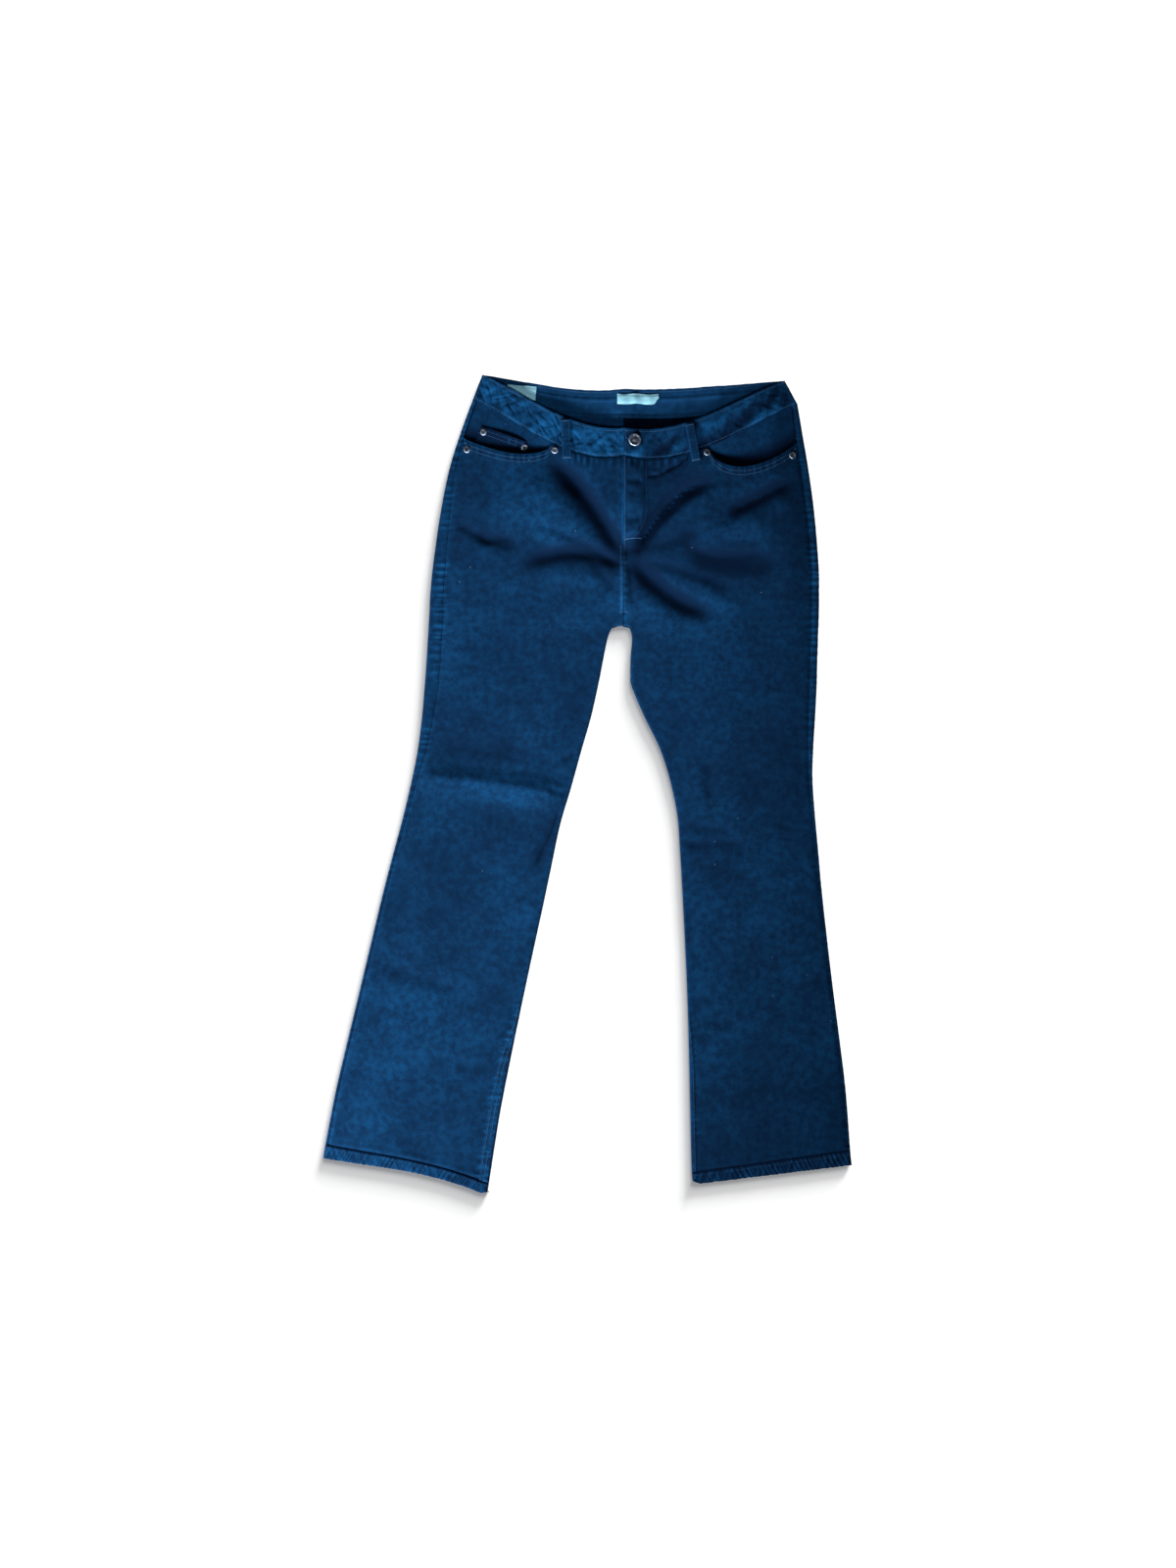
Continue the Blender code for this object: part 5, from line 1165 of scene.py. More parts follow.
fronts = {}
for side in LEGS:
    points, worn_and_shaded, from_top = front_points(side)
    centre = hump(points[..., 0] - CENTRE_X, 2.0) * (points[..., 1] > FLY_FOOT_Y - 5.0)
    crotch = hump(points[..., 0] - CENTRE_X, 5.0) * (points[..., 1] < CROTCH_TOP)
    worn_and_shaded = worn_and_shaded + 0.35 * centre + 0.15 * crotch
    fronts[side] = cloth(f"front_{side}_cloth", points, DENIM, UP, worn_and_shaded)
    tree = surface_of(fronts[side])
    mouth = POCKET_MOUTH[side]
    inside = (points[0, :, 0] - mouth.inner_x) * INWARD[side] < 2.0
    lines = [contour(points[:, inside], from_top[:, inside], inset, 0)[3:] for inset in MOUTH_STITCHES]
    bars = bar(tree, (CENTRE_X - 5.0 * INWARD[side], 235.0), (CENTRE_X, 237.0), 2.2)
    rows = points[::4]
    to_inner = inner_edge_distance(side, rows[..., 0], rows[..., 1])
    strip = fell_strip(side, rows[:, -1, 1])
    shown = (strip > 2.0) & (rows[:, -1, 1] < FELL_FROM)
    half = FRONT_COLUMNS // 2
    for inset in FELL_STITCHES:
        measure = strip[:, None] - inset - to_inner
        lines.append(contour(rows[shown, half:], measure[shown, half:], 0.0, 1))
    if side == "left":
        lines.append(on_surface(tree, [(CENTRE_X + 1.8, 449.0), (CENTRE_X + 1.8, 240.0)]))
        bars.append(on_surface(tree, FLY_CURVE))
        bars += bar(tree, (CENTRE_X + 1.5, 335.0), (CENTRE_X + 25.0, 337.0), 1.8)
    else:
        lines.append(on_surface(tree, [(CENTRE_X - 4.0, 325.0), (CENTRE_X - 4.0, 235.0)]))
    seams = sew(f"front_{side}_stitches", lines, SEED[side] + 60)
    tacks = sew(f"front_{side}_bartacks", bars, SEED[side] + 61, length=2.0, width=0.6)
    dress(fronts[side], points, [f"front_{side}"], denim)


# ------------------------------------------------------------------------------------------------
# Pocket facings: a shield of denim sewn in behind each pocket's mouth, the only part of the pocket
# bag that shows. The coin pocket is a small patch on the right one, turned in and stitched twice.
FACING_PAST = 1.06
FACING_OVERLAP = 8.0
FACING_BELOW = (8.0, 40.0)        # how far it goes on under the front: at its ends, at its deepest
FACING_SUNK = {0.0: 1.8, 0.49: 3.2, 1.0: 4.2, 1.5: 4.4, 2.0: 4.4}    # from its top, past the mouth at 1
FACING_CELLS = (96, 64)
MOUTH_SINK = {"right": 1.8, "left": 3.0}      # how much deeper it lies at the middle of the mouth


def facing_points(side):
    """A facing's outer points, from the waistband's seam down past the mouth."""
    mouth = POCKET_MOUTH[side]
    top = section_at(side, 0.0)
    share = np.linspace(0.0, FACING_PAST, FACING_CELLS[0] + 1)
    mouth_x, mouth_y = edge_point(mouth, share, fullness=MOUTH_FULLNESS)
    start_x = top.outer_x + INWARD[side] * (top.seam + 2.0 * SEAM_GAP)
    seam_x = start_x + (mouth.inner_x + FACING_OVERLAP * INWARD[side] - start_x) * share / FACING_PAST
    seam_y = np.interp(seam_x, *band_foot(side)) - 0.4
    mouth_y = np.minimum(mouth_y, np.interp(mouth_x, *band_foot(side)) - FACING_OVERLAP)
    ends, deepest = FACING_BELOW
    foot_y = mouth_y - ends - (deepest - ends) * hang(share / FACING_PAST, 1.0 - SAG_AT)
    heights = [row.outer_y for row in LEGS[side][:STATION["hip"] + 1]]
    down = np.linspace(0.0, 2.0, FACING_CELLS[1] + 1)[:, None]
    above, below = np.minimum(down, 1.0), np.maximum(down - 1.0, 0.0)
    x = seam_x + above * (mouth_x - seam_x)
    y = seam_y + above * (mouth_y - seam_y) + below * (foot_y - mouth_y)
    section = section_at(side, np.interp(y, heights[::-1], np.arange(len(heights))[::-1]))
    z = skin_height(side, section, x, y, np.abs(x - section.outer_x), True)
    z = z - value_at(FACING_SUNK, down)
    z = z - MOUTH_SINK[side] * ease(above, 1.0) * hang(share / FACING_PAST, 0.64) ** 1.5
    z = z + 0.6 * unevenness(x, y, SEED[side] + 20) * (1.0 - below)
    return np.stack([x, y, z], axis=-1)


facings = {}
for side in LEGS:
    points = facing_points(side)
    # Drawn darker from halfway down the facing to the mouth and below it: partly indigo left unfaded inside
    # the pocket, partly painted shade in the mouth's gape.
    unworn_and_shaded = ease(np.linspace(0.0, 2.0, FACING_CELLS[1] + 1)[:, None] - 0.5, 0.4)
    worn_and_shaded = USUAL_WEAR * (1.0 - unworn_and_shaded) + 0.0 * points[..., 0]
    facings[side] = cloth(f"pocket_facing_{side}_cloth", points, DENIM, UP, worn_and_shaded)
    dress(facings[side], points, [f"pocket_facing_{side}"], denim)

# A strip's middle line, from its top to its foot, or an edge from one end to the other.
Strip = namedtuple("Strip", "x0 y0 x1 y1")
COIN_EDGE = Strip(-146.5, 490.9, -84.0, 468.3)
COIN_DEPTH = 31.0
THIN_DENIM = 1.0
COIN_CELLS = (24, 48)


def strip_places(strip, width, cells):
    """x and y of a grid along a strip's middle line."""
    along = np.array([strip.x1 - strip.x0, strip.y1 - strip.y0])
    across = np.array([-along[1], along[0]]) / np.hypot(*along)
    down = even_shares(cells[0])[:, None, None]
    side_to_side = np.linspace(-0.5, 0.5, cells[1] + 1)[None, :, None] * width
    places = np.array([strip.x0, strip.y0]) + down * along + side_to_side * across
    return places[..., 0], places[..., 1]


coin_across = np.array([COIN_EDGE.x1 - COIN_EDGE.x0, COIN_EDGE.y1 - COIN_EDGE.y0])
coin_down = np.array([coin_across[1], -coin_across[0]]) / np.hypot(*coin_across)
coin_middle = np.array([COIN_EDGE.x0 + COIN_EDGE.x1, COIN_EDGE.y0 + COIN_EDGE.y1]) / 2.0
coin_strip = Strip(*coin_middle, *(coin_middle + COIN_DEPTH * coin_down))
x, y = strip_places(coin_strip, float(np.hypot(*coin_across)), COIN_CELLS)
down = np.linspace(0.0, COIN_DEPTH, COIN_CELLS[0] + 1)[:, None]
gape = 2.2 * hump(down, 8.0) * hang(even_shares(COIN_CELLS[1]), 0.7)
roping = rungs(x, down - 5.0, 8.0, 6.0, 0.25, 401)
z = heights_on(surface_of(facings["right"]), x, y) + LAY_GAP + THIN_DENIM + gape + roping
points = np.stack([x, y, z], axis=-1)
coin = cloth("coin_pocket_cloth", points, THIN_DENIM, UP, np.clip(2.0 * roping, 0.0, 1.0))
lines = [contour(points, down + 0.0 * x, inset, 0) for inset in (4.0, 9.5)]
coin_seams = sew("coin_pocket_stitches", lines, 402, width=0.5)
dress(coin, points, ["coin_pocket"], denim)


# ------------------------------------------------------------------------------------------------
# Waistband: two layers of denim, 38 mm deep, cut on the straight and sewn on under two rows of
# stitching, which rope it into slanting puckers. The left end laps over the right one.
BAND_WALL = 2.4
BAND_PROUD = 0.5
LAP_LENGTH = 27.0             # how far the left end goes on over the right one
LAP_UNDER = (23.0, 6.0)       # where the under end runs, from the centre
BAND_DEPTH_CELLS = 32
BAND_ROLL_CELLS = 8
BAND_CELLS = 256
BACK_BAND_TOP = {
    "right": Edge(-145.1, 562.5, CENTRE_X, 543.0, 7.0),
    "left": Edge(272.0, 554.3, CENTRE_X, 543.0, 3.0),
}
BAND_FADE_AND_LIGHT = {"right": 0.90, "left": 0.54}       # how washed out it is; the right one is also drawn paler as painted light, for the stronger light on it
BAND_ROPE = {"right": 0.75, "left": 0.35}       # how strongly it puckers
BAND_CREASE = {"right": 1.0, "left": 0.6}       # how deep its thin creases are
BAND_STITCHES = (3.0, 35.5)
BACK_BAND_STITCHES = (3.5, 34.0)


def band_points(side, distance, down, upper=True):
    """Waistband points, `distance` inward from its outer end and a share `down` its depth."""
    face = "front" if upper else "back"
    top = (BAND_TOP if upper else BACK_BAND_TOP)[side]
    section = section_at(side, 0.0, face)
    foot = Edge(section.outer_x, section.outer_y, section.inner_x, section.inner_y, section.sag)
    share = distance / row_width(section)
    top_x, top_y = edge_point(top, share)
    foot_x, foot_y = edge_point(foot, share)
    x = top_x + (foot_x - top_x) * down
    y = top_y + (foot_y - top_y) * down
    if upper:
        z = skin_height("right", section, x, y, distance, True) + BAND_PROUD * ease(distance, BAND_EASE)
        return np.stack([x, y, z], axis=-1)
    return np.stack([x, y, loop_lift(x) + roll_off(distance, section.roll)], axis=-1)


def band_relief(side, distance, down, x):
    """Slanting puckers between the band's rows of stitching, closer and crossed near the centre."""
    depth = BAND_DEPTH * down
    between_rows = np.sin(np.pi * np.clip(down, 0.0, 1.0)) ** 0.6
    strong = BAND_ROPE[side]
    slants = rungs(distance + 0.8 * depth, 0.0 * x, 14.5, 1.0, 0.25, SEED[side] + 31)
    slants = slants + 0.8 * crumple(distance, depth, 7.0, 20.0, -44.0, SEED[side] + 33)
    crossed = crumple(distance, depth, 7.0, 18.0, 42.0, SEED[side] + 35)
    crossed = crossed + 0.8 * crumple(distance, depth, 6.0, 15.0, -40.0, SEED[side] + 36)
    near_centre = ease(x + 5.0, 40.0) if side == "right" else ease(120.0 - x, 60.0)
    puckers = strong * (slants * (1.0 - 0.5 * near_centre) + crossed * (0.6 + 0.4 * near_centre))
    puckers = puckers + strong * rungs(distance, depth - 31.0, 5.4, 6.0, 0.32, SEED[side] + 37)
    if side == "left":
        puckers = puckers + 2.1 * crumple(distance, depth, 11.0, 60.0, 24.0, 75)
        puckers = puckers + 1.0 * crumple(distance, depth, 8.0, 30.0, 48.0, 76)
    for turn, seed in ((40.0, 1), (-38.0, 2), (55.0, 3)):
        line = crumple(distance, depth, 10.0, 24.0, turn, SEED[side] + 60 + seed)
        shown = ease(ripple(distance, depth, 9.0, SEED[side] + 63 + seed) + 0.5, 0.6)
        puckers = puckers - BAND_CREASE[side] * shown * hump(line, 0.28)
    rounded = -0.9 * hump(depth, 1.4) - 0.7 * hump(BAND_DEPTH - depth, 1.2)
    rows = -0.35 * hump(depth - 3.0, 1.2) - 0.35 * hump(depth - 35.5, 1.2)
    return puckers, puckers * between_rows + rounded + rows


bands = {}
for side in LEGS:
    top = section_at(side, 0.0)
    length, roll = float(row_width(top)), float(top.roll)
    flat = np.linspace(roll, length, BAND_CELLS - BAND_ROLL_CELLS + 1)
    distance = np.concatenate([rolled(roll, BAND_ROLL_CELLS), flat[1:]])[None, :]
    down = even_shares(BAND_DEPTH_CELLS)[:, None]
    points = band_points(side, distance, down)
    puckers, relief = band_relief(side, distance + 0.0 * down, down + 0.0 * distance, points[..., 0])
    points[..., 2] += relief * ease(distance, 6.0)
    if side == "left":
        points[..., 2] += FLY_LIFT * ease(distance - length + LAP_LENGTH + FLY_EASE, FLY_EASE)
        points[..., 2] -= 0.8 * hump(length - distance, 1.3)
    else:
        left_length = float(row_width(section_at("left", 0.0)))
        lap = left_length - np.linspace(LAP_UNDER[1], LAP_UNDER[0], 4)
        under = band_points("left", lap[None, :], down)
        under[..., 2] -= LAY_GAP
        points[:, -1, 0] -= SEAM_GAP
        points = np.concatenate([points, under], axis=1)
        puckers = np.concatenate([puckers, np.zeros(under.shape[:2])], axis=1)
    points[:, 0, 2] += SEAM_GAP / 2
    worn_and_shaded = BAND_FADE_AND_LIGHT[side] + 0.2 * puckers + 0.35 * hump(BAND_DEPTH * down, 2.0)
    bands[side] = cloth(f"waistband_{side}_cloth", points, BAND_WALL, UP, worn_and_shaded)
    shown = slice(BAND_ROLL_CELLS, BAND_CELLS - 1)
    depth = (BAND_DEPTH * down + 0.0 * points[..., 0])[:, shown]
    lines = [contour(points[:, shown], depth, inset, 0) for inset in BAND_STITCHES]
    if side == "left":
        lap_edge = [(CENTRE_X + 3.0, 483.0), (CENTRE_X + 3.0, 454.0)]
        lines.append(on_surface(surface_of(bands[side]), lap_edge))
    seams = sew(f"waistband_{side}_stitches", lines, SEED[side] + 70)
    dress(bands[side], points, [f"waistband_{side}"], denim)

BACK_BAND_CELLS = 120
halves = []
for side in LEGS:
    back_section = section_at(side, 0.0, "back")
    length, roll = float(row_width(back_section)), float(back_section.roll)
    flat = np.linspace(roll, length, BACK_BAND_CELLS - BAND_ROLL_CELLS + 1)
    distance = np.concatenate([rolled(roll, BAND_ROLL_CELLS), flat[1:]])[None, :]
    down = even_shares(BAND_DEPTH_CELLS)[:, None]
    halves.append(band_points(side, distance, down, upper=False))
points = np.concatenate([halves[0], halves[1][:, -2::-1]], axis=1)
along = points[..., 0]
down = down + 0.0 * along
inner_rows = hump((down - 0.36) * BAND_DEPTH, 2.2) - hump((down - 0.86) * BAND_DEPTH, 1.8)
points[..., 2] += 0.35 * (1.0 + rungs(along + 20.0 * down, 0.0 * along, 17.0, 1.0, 1.0, 71))
points[..., 2] += 0.2 * (1.0 + ripple(along, points[..., 1], 30.0, 73)) + 1.1 * inner_rows
points[:, (0, -1), 2] -= SEAM_GAP / 2
back_band = cloth("waistband_back_cloth", points, BAND_WALL, DOWN, skip=1)
inner_face = points + (0.0, 0.0, BAND_WALL)
depth = BAND_DEPTH * down
lines = [
    contour(face[:, 12:-12], depth[:, 12:-12], inset, 0)
    for face in (points, inner_face) for inset in BACK_BAND_STITCHES
]
seams = sew("waistband_back_stitches", lines, 74)
dress(back_band, points, ["waistband_back"], denim_inside)


# ------------------------------------------------------------------------------------------------
# Hems: each leg's end is turned up twice and stitched round. The stitching drags the two turns
# against each other, so the hem ropes into close slanting puckers.
HEM_WALL = 2.4
HEM_ROWS = 28
HEM_OVER_CELLS = 200
HEM_UNDER_CELLS = 64
HEM_ROLL_CELLS = 8
HEM_DEPTH = 19.0
ROPE_PERIOD = 5.6        # from one pucker to the next
ROPE_DEPTH = 0.42
ROPE_SLANT = 0.4         # how far a pucker runs along the hem for each millimetre down it
HEM_STITCHES = 0.28      # how far down the hem, as a share

hems = {}
for side in LEGS:
    part = np.linspace(0.002, 1.0, HEM_ROWS + 1)
    stations = STATION["hem_top"] + 0.5 * (part * part + part)
    section = section_at(side, stations)
    width, roll = row_width(section)[:, None], section.roll[:, None]
    rounding = rolled(section.roll, HEM_ROLL_CELLS)
    over = roll + even_shares(HEM_OVER_CELLS)[1:-1] * (width - 2.0 * roll)
    under = roll + np.linspace(1.0, 0.0, HEM_UNDER_CELLS + 1)[1:-1] * (width - 2.0 * roll)
    distances = np.concatenate([
        rounding, over, width - rounding[:, ::-1], width - rounding[:, 1:], under, rounding[:, :0:-1],
    ], axis=1)
    upper = np.arange(distances.shape[1]) < HEM_OVER_CELLS + 2 * HEM_ROLL_CELLS + 1
    grid = np.broadcast_to(stations[:, None], distances.shape)
    points = skin(side, grid, distances, np.broadcast_to(upper, grid.shape))
    run = run_along(points, 0)
    down = run / run[-1]
    slant = distances + ROPE_SLANT * HEM_DEPTH * down
    middle = np.sin(np.pi * (0.04 + 0.86 * down)) ** 0.6
    puckers = rungs(slant, 0.0 * slant, ROPE_PERIOD, 1.0, ROPE_DEPTH, SEED[side] + 41)
    from_seam = HEM_DEPTH * down
    puckers = (puckers + 0.4 * crumple(distances, from_seam, 3.6, 12.0, 68.0, SEED[side] + 42)) * upper
    inside_roll = ease(np.minimum(distances, width - distances), 5.0)
    fold = -1.3 * hump(HEM_DEPTH * (1.0 - down), 1.6) - 2.4 * hump(from_seam, 1.1)
    relief = (puckers * middle + fold + 0.5 * middle) * upper - 0.5 * fold * ~upper
    points[..., 2] += relief * inside_roll
    points[..., 1] += 0.9 * puckers * down * inside_roll
    # Paler on the puckers' crests, and painted shade along the hem's top edge, drawn dark beside the groove.
    worn_and_shaded = (value_at(FADE_AND_SHADE[side], -540.0) + 0.45 * puckers) * (1.0 - hump(from_seam, 1.6) * upper)
    hems[side] = cloth(f"hem_{side}_cloth", points, HEM_WALL, UP, worn_and_shaded, ring=True)
    closed = np.concatenate([points, points[:, :1]], axis=1)
    line = contour(closed, np.concatenate([down, down[:, :1]], axis=1), HEM_STITCHES, 0)
    seams = sew(f"hem_{side}_stitches", [line], SEED[side] + 80, width=0.4)
    dress(hems[side], points, [f"hem_{side}"], denim, ring=True)


# ------------------------------------------------------------------------------------------------
# Fly shield: a strip of thin denim sewn to the right front, under the left one's lap.
SHIELD_SHORT = 4.0
SHIELD_WIDTH = (1.0, 28.0)
SHIELD_FOOT_SHARE = 0.7
SHIELD_CELLS = (48, 16)

lapped = surface_of(fronts["left"], bands["right"])
y = np.linspace(FLY_TOP_Y - SHIELD_SHORT, FLY_FOOT_Y + SHIELD_SHORT, SHIELD_CELLS[0] + 1)[:, None]
narrowed = ease(y - FLY_FOOT_Y, FLY_TURN_Y - FLY_FOOT_Y)
across = np.linspace(*SHIELD_WIDTH, SHIELD_CELLS[1] + 1)
across = across * (SHIELD_FOOT_SHARE + (1.0 - SHIELD_FOOT_SHARE) * narrowed)
x, y = CENTRE_X + across, y + 0.0 * across
z = heights_on(lapped, x, y, reach=4.0, below=True) - LAY_GAP
points = np.stack([x, y, z], axis=-1)
shield = cloth("fly_shield_cloth", points, THIN_DENIM, UP)
dress(shield, points, ["fly_shield"], denim)


# ------------------------------------------------------------------------------------------------
# Back pockets: plain patches of the denim under the seat, turned in and stitched twice all round.
POCKET_CELLS = (32, 48)

for side in LEGS:
    top, foot, tall, point, corner = POCKET
    u = even_shares(POCKET_CELLS[1])
    foot_x = [-foot / 2, corner - foot / 2, 0.0, foot / 2 - corner, foot / 2]
    foot_y = [corner - tall / 2, -tall / 2, -tall / 2 - point, -tall / 2, corner - tall / 2]
    u_at = [0.0, 1 / 12, 0.5, 11 / 12, 1.0]
    low_x, low_y = np.interp(u, u_at, foot_x), np.interp(u, u_at, foot_y)
    v = even_shares(POCKET_CELLS[0])[:, None]
    across = (u - 0.5) * top * (1.0 - v) + low_x * v
    up = (tall / 2) * (1.0 - v) + low_y * v + point / 2
    turn = math.radians(POCKET_TILT) * INWARD[side]
    x = POCKET_CENTRE[side][0] + across * math.cos(turn) + up * math.sin(turn)
    y = POCKET_CENTRE[side][1] - across * math.sin(turn) + up * math.cos(turn)
    edge = np.minimum(np.minimum(u, 1.0 - u) * top, np.minimum(v, 1.0 - v) * tall)
    z = 0.15 * (1.0 + rungs(x + y, edge - 4.0, 8.0, 5.0, 1.0, SEED[side] + 90))
    points = np.stack([x, y, z], axis=-1)
    pocket = cloth(f"back_pocket_{side}_cloth", points, DENIM, DOWN, skip=1)
    lines = [
        np.concatenate([points[:-step, step], points[-1 - step, step:-step], points[-step::-1, -1 - step]])
        for step in (2, 4)
    ]
    lines += [points[row] for row in (2, 5)]
    seams = sew(f"back_pocket_{side}_stitches", lines, SEED[side] + 91)
    dress(pocket, points, [f"back_pocket_{side}"], denim)


# ------------------------------------------------------------------------------------------------
# Belt loops: strips of denim folded to 12 mm, with a row of stitching along each edge, tacked above
# and below the waistband with dense bars of thread.
LOOP_WALL = 1.9
LOOP_GAP = 0.5
FRONT_LOOPS = {"right": Strip(-30.5, 499.5, -28.5, 444.5), "left": Strip(140.0, 493.5, 149.5, 441.5)}
LOOP_CELLS = (48, 16)


def loop_tacks(loop, points, rows, below=False):
    """Bartacks across a loop, on these rows of its grid."""
    tree = surface_of(loop)
    ends = [(points[row, 1][:2], points[row, -2][:2]) for row in rows]
    return [tack for start, end in ends for tack in bar(tree, start, end, 2.6, below=below)]


cover = surface_of(*fronts.values(), *bands.values())
for side in LEGS:
    line = FRONT_LOOPS[side]
    x, y = strip_places(line, LOOP_WIDTH, LOOP_CELLS)
    share = even_shares(LOOP_CELLS[0])[:, None]
    under = heights_on(cover, x, y, reach=2.5).max(axis=1, keepdims=True)
    smooth = np.array([under[max(0, row - 4):row + 5].mean() for row in range(len(under))])[:, None]
    across = np.linspace(-1.0, 1.0, LOOP_CELLS[1] + 1)
    bow = 0.8 * np.sin(np.pi * share) ** 0.7
    z = smooth + LOOP_GAP + LOOP_WALL + bow - 0.5 * across**6 - 0.2 * hump(np.abs(across) - 0.7, 0.12)
    z = z + rungs(60.0 * share + 0.0 * across, 0.0 * x, 7.0, 1.0, 0.15, SEED[side] + 95)
    points = np.stack([x, y, z], axis=-1)
    worn_and_shaded = USUAL_WEAR + 0.2 * np.abs(across) ** 4 + 0.0 * x
    loop = cloth(f"belt_loop_front_{side}_cloth", points, LOOP_WALL, UP, worn_and_shaded)
    bars = loop_tacks(loop, points, (-3, 2))
    lines = [points[2:-2, column] for column in (2, -3)]
    seams = sew(f"belt_loop_front_{side}_stitches", lines, SEED[side] + 96, length=2.0, width=0.45)
    tacks = sew(f"belt_loop_front_{side}_bartacks", bars, SEED[side] + 97, **TACK)
    dress(loop, points, [f"belt_loop_front_{side}"], denim)

for number, middle in enumerate(BACK_LOOPS_X, 1):
    side = "right" if middle < CENTRE_X else "left"
    length = abs(middle - LEGS[side][0].outer_x)
    ends = band_points(side, np.array(length), np.array([0.04, 0.96]), upper=False)
    top, foot = ends[:, 1]
    x, y = strip_places(Strip(middle, top, middle, foot), LOOP_WIDTH, LOOP_CELLS)
    points = np.stack([x, y, 0.1 + 0.1 * ripple(x, y, 6.0, number)], axis=-1)
    loop = cloth(f"belt_loop_back_{number}_cloth", points, LOOP_WALL, DOWN)
    bars = loop_tacks(loop, points, (3, -4), below=True)
    lines = [points[2:-2, column] for column in (2, -3)]
    seams = sew(f"belt_loop_back_{number}_stitches", lines, 100 + number)
    tacks = sew(f"belt_loop_back_{number}_bartacks", bars, 110 + number, **TACK)
    dress(loop, points, [f"belt_loop_back_{number}"], denim)


# ------------------------------------------------------------------------------------------------
# Button and rivets: pressed brass with an antique finish, dark in the hollows and worn bright on the
# rims. The button turns freely on a shank riveted through the band. Both are bare of any mark.
METAL_SIDES = 48
Turned = namedtuple("Turned", "node x y seat profile")
BUTTON_PROFILE = [
    (0.0, 0.0), (4.2, 0.0), (3.9, 0.7), (3.8, 1.4), (7.4, 1.5), (8.1, 1.7), (8.45, 2.1), (8.5, 2.5),
    (8.3, 3.2), (7.8, 3.7), (7.2, 3.9), (6.6, 3.8), (6.1, 3.5), (5.7, 3.35), (3.2, 3.3), (2.7, 3.45),
    (2.2, 3.65), (1.2, 3.75), (0.0, 3.78),
]
RIVET_PROFILE = [
    (0.0, 0.0), (4.3, 0.0), (4.65, 0.2), (4.7, 0.5), (4.45, 0.9), (4.0, 1.2), (3.3, 1.45), (2.7, 1.5),
    (2.1, 1.35), (1.7, 1.1), (1.1, 1.15), (0.6, 1.28), (0.0, 1.32),
]
METAL = [
    Turned("rivet_pocket_right_inner", -45.0, 457.0, 4.7, RIVET_PROFILE),
    Turned("rivet_pocket_right_outer", -166.0, 458.5, 4.7, RIVET_PROFILE),
    Turned("rivet_coin_outer", -143.0, 482.5, 4.7, RIVET_PROFILE),
    Turned("rivet_coin_inner", -86.5, 461.5, 4.7, RIVET_PROFILE),
    Turned("rivet_pocket_left_inner", 164.2, 454.0, 4.7, RIVET_PROFILE),
    Turned("rivet_pocket_left_outer", 282.0, 450.5, 4.7, RIVET_PROFILE),
    Turned("button", 64.8, 470.6, 4.2, BUTTON_PROFILE),
]

metal, metal_tree, metal_shader = add_material("antique_metal", Metallic=1.0)
metal_place = add_node(metal_tree, "ShaderNodeTexCoord")
metal_tone = mottle(metal_tree, metal_place.outputs["Object"], 0.003, 3.0, 0.3, 0.7)
metal_worn = add_node(metal_tree, "ShaderNodeNewGeometry")
metal_edge = between(metal_tree, metal_worn.outputs["Pointiness"], 0.5, 0.56)
metal_mix = figure(metal_tree, "ADD", figure(metal_tree, "MULTIPLY", metal_tone, 0.5), metal_edge)
metal_colour = blend_colours(metal_tree, metal_mix, (0.08, 0.105, 0.15, 1.0), (0.46, 0.54, 0.68, 1.0))
metal_tree.links.new(metal_colour, metal_shader.inputs["Base Color"])
metal_tree.links.new(between(metal_tree, metal_tone, 0.0, 1.0, 0.4, 0.62), metal_shader.inputs["Roughness"])


def turned_piece(name, profile, place, normal):
    """A closed turned piece from (radius, height) points, standing on a surface."""
    turns = np.linspace(0.0, 2.0 * math.pi, METAL_SIDES, endpoint=False)
    vertices, rings = [], []
    for radius, height in profile:
        rings.append(list(range(len(vertices), len(vertices) + (METAL_SIDES if radius else 1))))
        circle = turns if radius else turns[:1]
        vertices += [(radius * math.cos(turn), radius * math.sin(turn), height) for turn in circle]
    faces = []
    for low, high in zip(rings[:-1], rings[1:]):
        for step in range(METAL_SIDES):
            places = ((low, step), (low, step + 1), (high, step + 1), (high, step))
            corners = [ring[at % len(ring)] for ring, at in places]
            faces.append(list(dict.fromkeys(corners)))
    turn = Vector(UP).rotation_difference(normal).to_matrix()
    vertices = [(turn @ Vector(vertex) + Vector(place)) * MM for vertex in vertices]
    mesh = bpy.data.meshes.new(name)
    mesh.from_pydata(vertices, [], faces)
    mesh.shade_smooth()
    mesh.set_sharp_from_angle(angle=math.radians(50))
    mesh.materials.append(metal)
    return add_object(name, mesh)


cover = surface_of(*fronts.values(), *bands.values(), *facings.values(), coin)
for part in METAL:
    turns = np.arange(8) * math.pi / 4
    rim_x, rim_y = part.seat * np.cos(turns), part.seat * np.sin(turns)
    rim = heights_on(cover, part.x + rim_x, part.y + rim_y)
    slope_x, slope_y = (rim_x @ rim) / (4.0 * part.seat**2), (rim_y @ rim) / (4.0 * part.seat**2)
    middle = max(rim.mean(), (rim - slope_x * rim_x - slope_y * rim_y).max() - 0.5)
    upright = Vector((-slope_x, -slope_y, 1.0)).normalized()
    piece = turned_piece(f"{part.node}_metal", part.profile, (part.x, part.y, middle + 0.1), upright)
    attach(piece, "root")
    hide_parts(part.node)


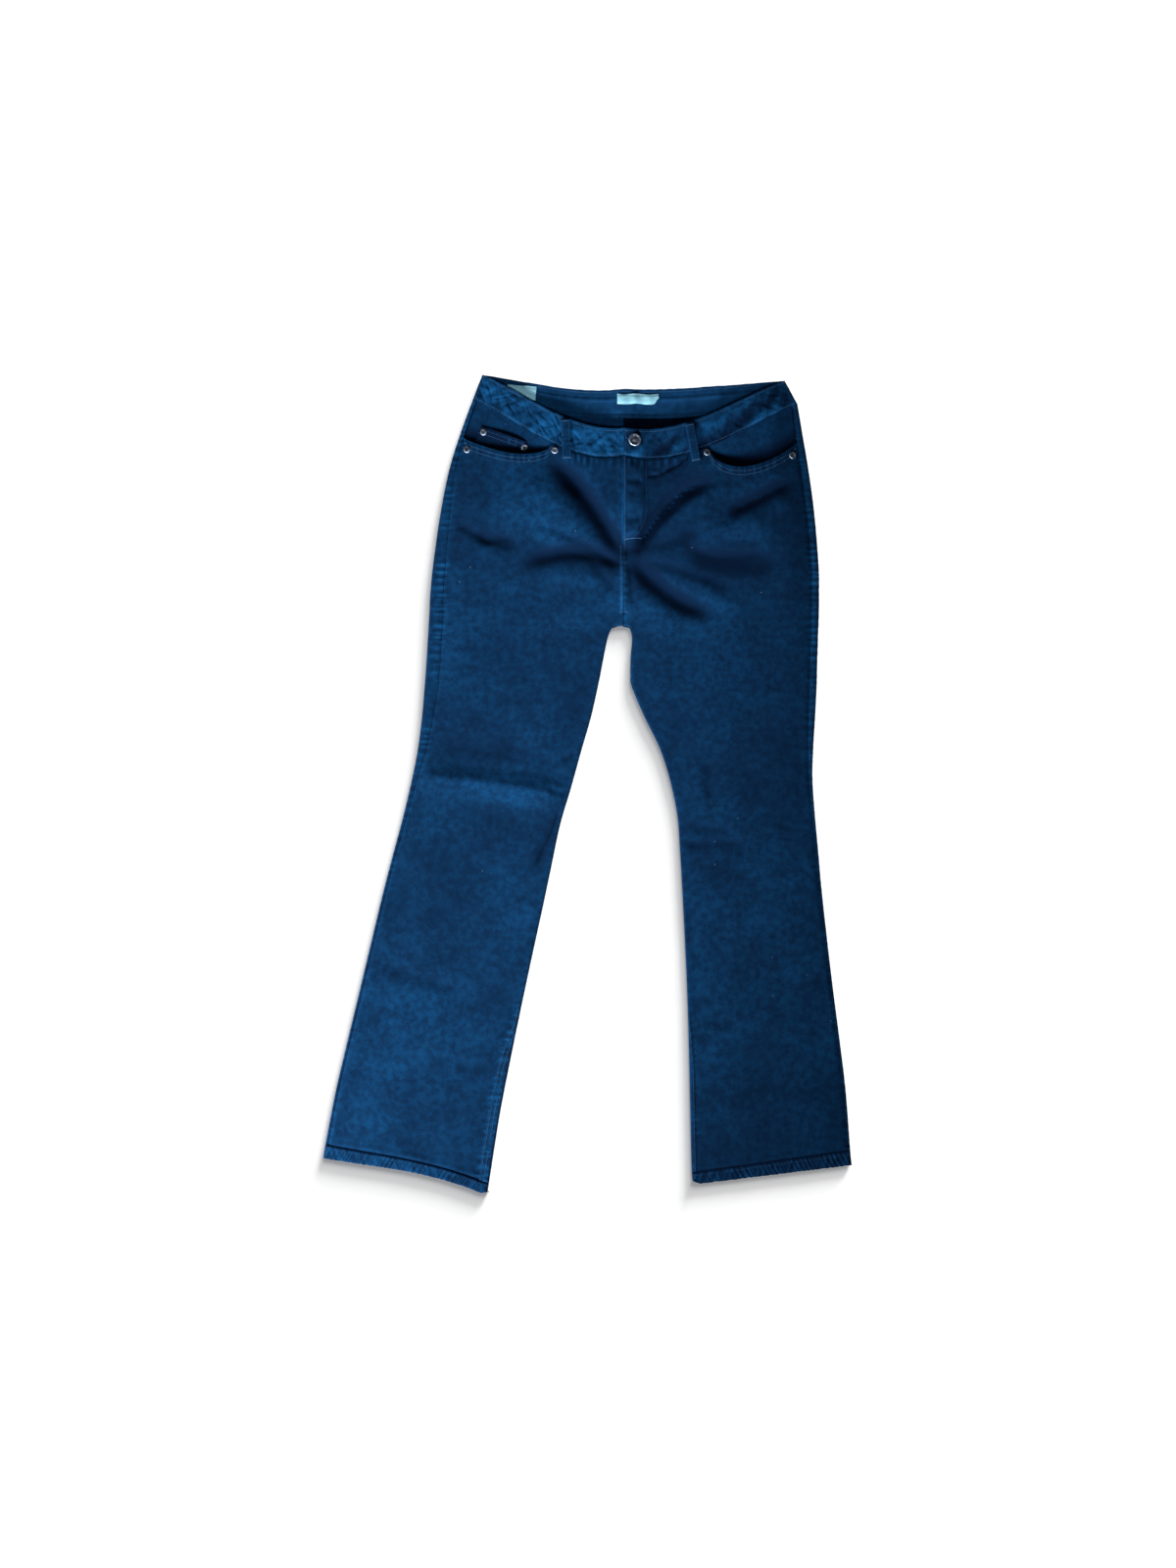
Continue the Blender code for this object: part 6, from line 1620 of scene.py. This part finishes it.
# ------------------------------------------------------------------------------------------------
# Labels: two pieces of pale woven tape sewn in at the waistband's back, both bare. The one at the
# centre is fixed by its ends only and waves between them.
LABEL_WALL = 0.6
Label = namedtuple("Label", "node x y width height turn waves wave_height cells")
LABELS = [
    Label("label_size", -91.0, 538.0, 40.0, 19.0, -5.0, 1, 0.2, 32),
    Label("label_centre", 69.5, 528.8, 57.0, 14.0, 0.0, 3, 1.1, 64),
]
LABEL_ROWS = 12
LOOSE_FROM = 0.38        # from the middle, in shares of its width: where a waving label's end is loose
LOOSE_OVER = 0.12
LOOSE_TURN = 7.0         # how far its lower corner is turned up, and how far it lifts
LOOSE_LIFT = 1.2
TAPE_RIB = 0.0006

tape, tape_tree, tape_shader = add_material("label", Roughness=0.55)
tape_weave = weave(tape_tree, TAPE_RIB)
tape_tone = between(tape_tree, tape_weave, -1.3, 1.3)
tape_colour = blend_colours(tape_tree, tape_tone, (0.26, 0.68, 0.92, 1.0), (0.42, 0.84, 1.0, 1.0))
tape_tree.links.new(tape_colour, tape_shader.inputs["Base Color"])
raise_surface(tape_tree, tape_shader, tape_weave, 0.4, 0.0003)

inside = surface_of(back_band)
for spec in LABELS:
    turn = math.radians(spec.turn)
    up = np.linspace(0.5, -0.5, LABEL_ROWS + 1)[:, None]
    share = np.linspace(-0.5, 0.5, spec.cells + 1)
    across, rise = share * spec.width + 0.0 * up, up * spec.height + 0.0 * share
    x = spec.x + across * math.cos(turn) - rise * math.sin(turn)
    y = spec.y + across * math.sin(turn) + rise * math.cos(turn)
    wave = 1.0 - np.cos(2.0 * math.pi * spec.waves * (share + 0.5))
    turned_up = ease(share - LOOSE_FROM, LOOSE_OVER) * (spec.waves > 1)
    y = y + 0.55 * spec.wave_height * np.sin(2.0 * math.pi * (1.7 * share + 0.3)) * (spec.waves > 1)
    y = y + LOOSE_TURN * turned_up * (0.5 - up)
    z = heights_on(inside, x, y, reach=3.0) + LAY_GAP + LABEL_WALL + spec.wave_height * wave * (0.5 - up)
    z = z + LOOSE_LIFT * turned_up * (0.5 - up)
    points = np.stack([x, y, z], axis=-1)
    label = cloth(f"{spec.node}_tape", points, LABEL_WALL, UP, skip=1)
    dress(label, points, [spec.node], tape)


# ------------------------------------------------------------------------------------------------
# The lamp over the open waist lights only the cloth and labels that lie inside it.
for name in ("waistband_back_cloth", "yoke_right_cloth", "label_size_tape", "label_centre_tape"):
    lit["inside"].objects.link(bpy.data.objects[name])
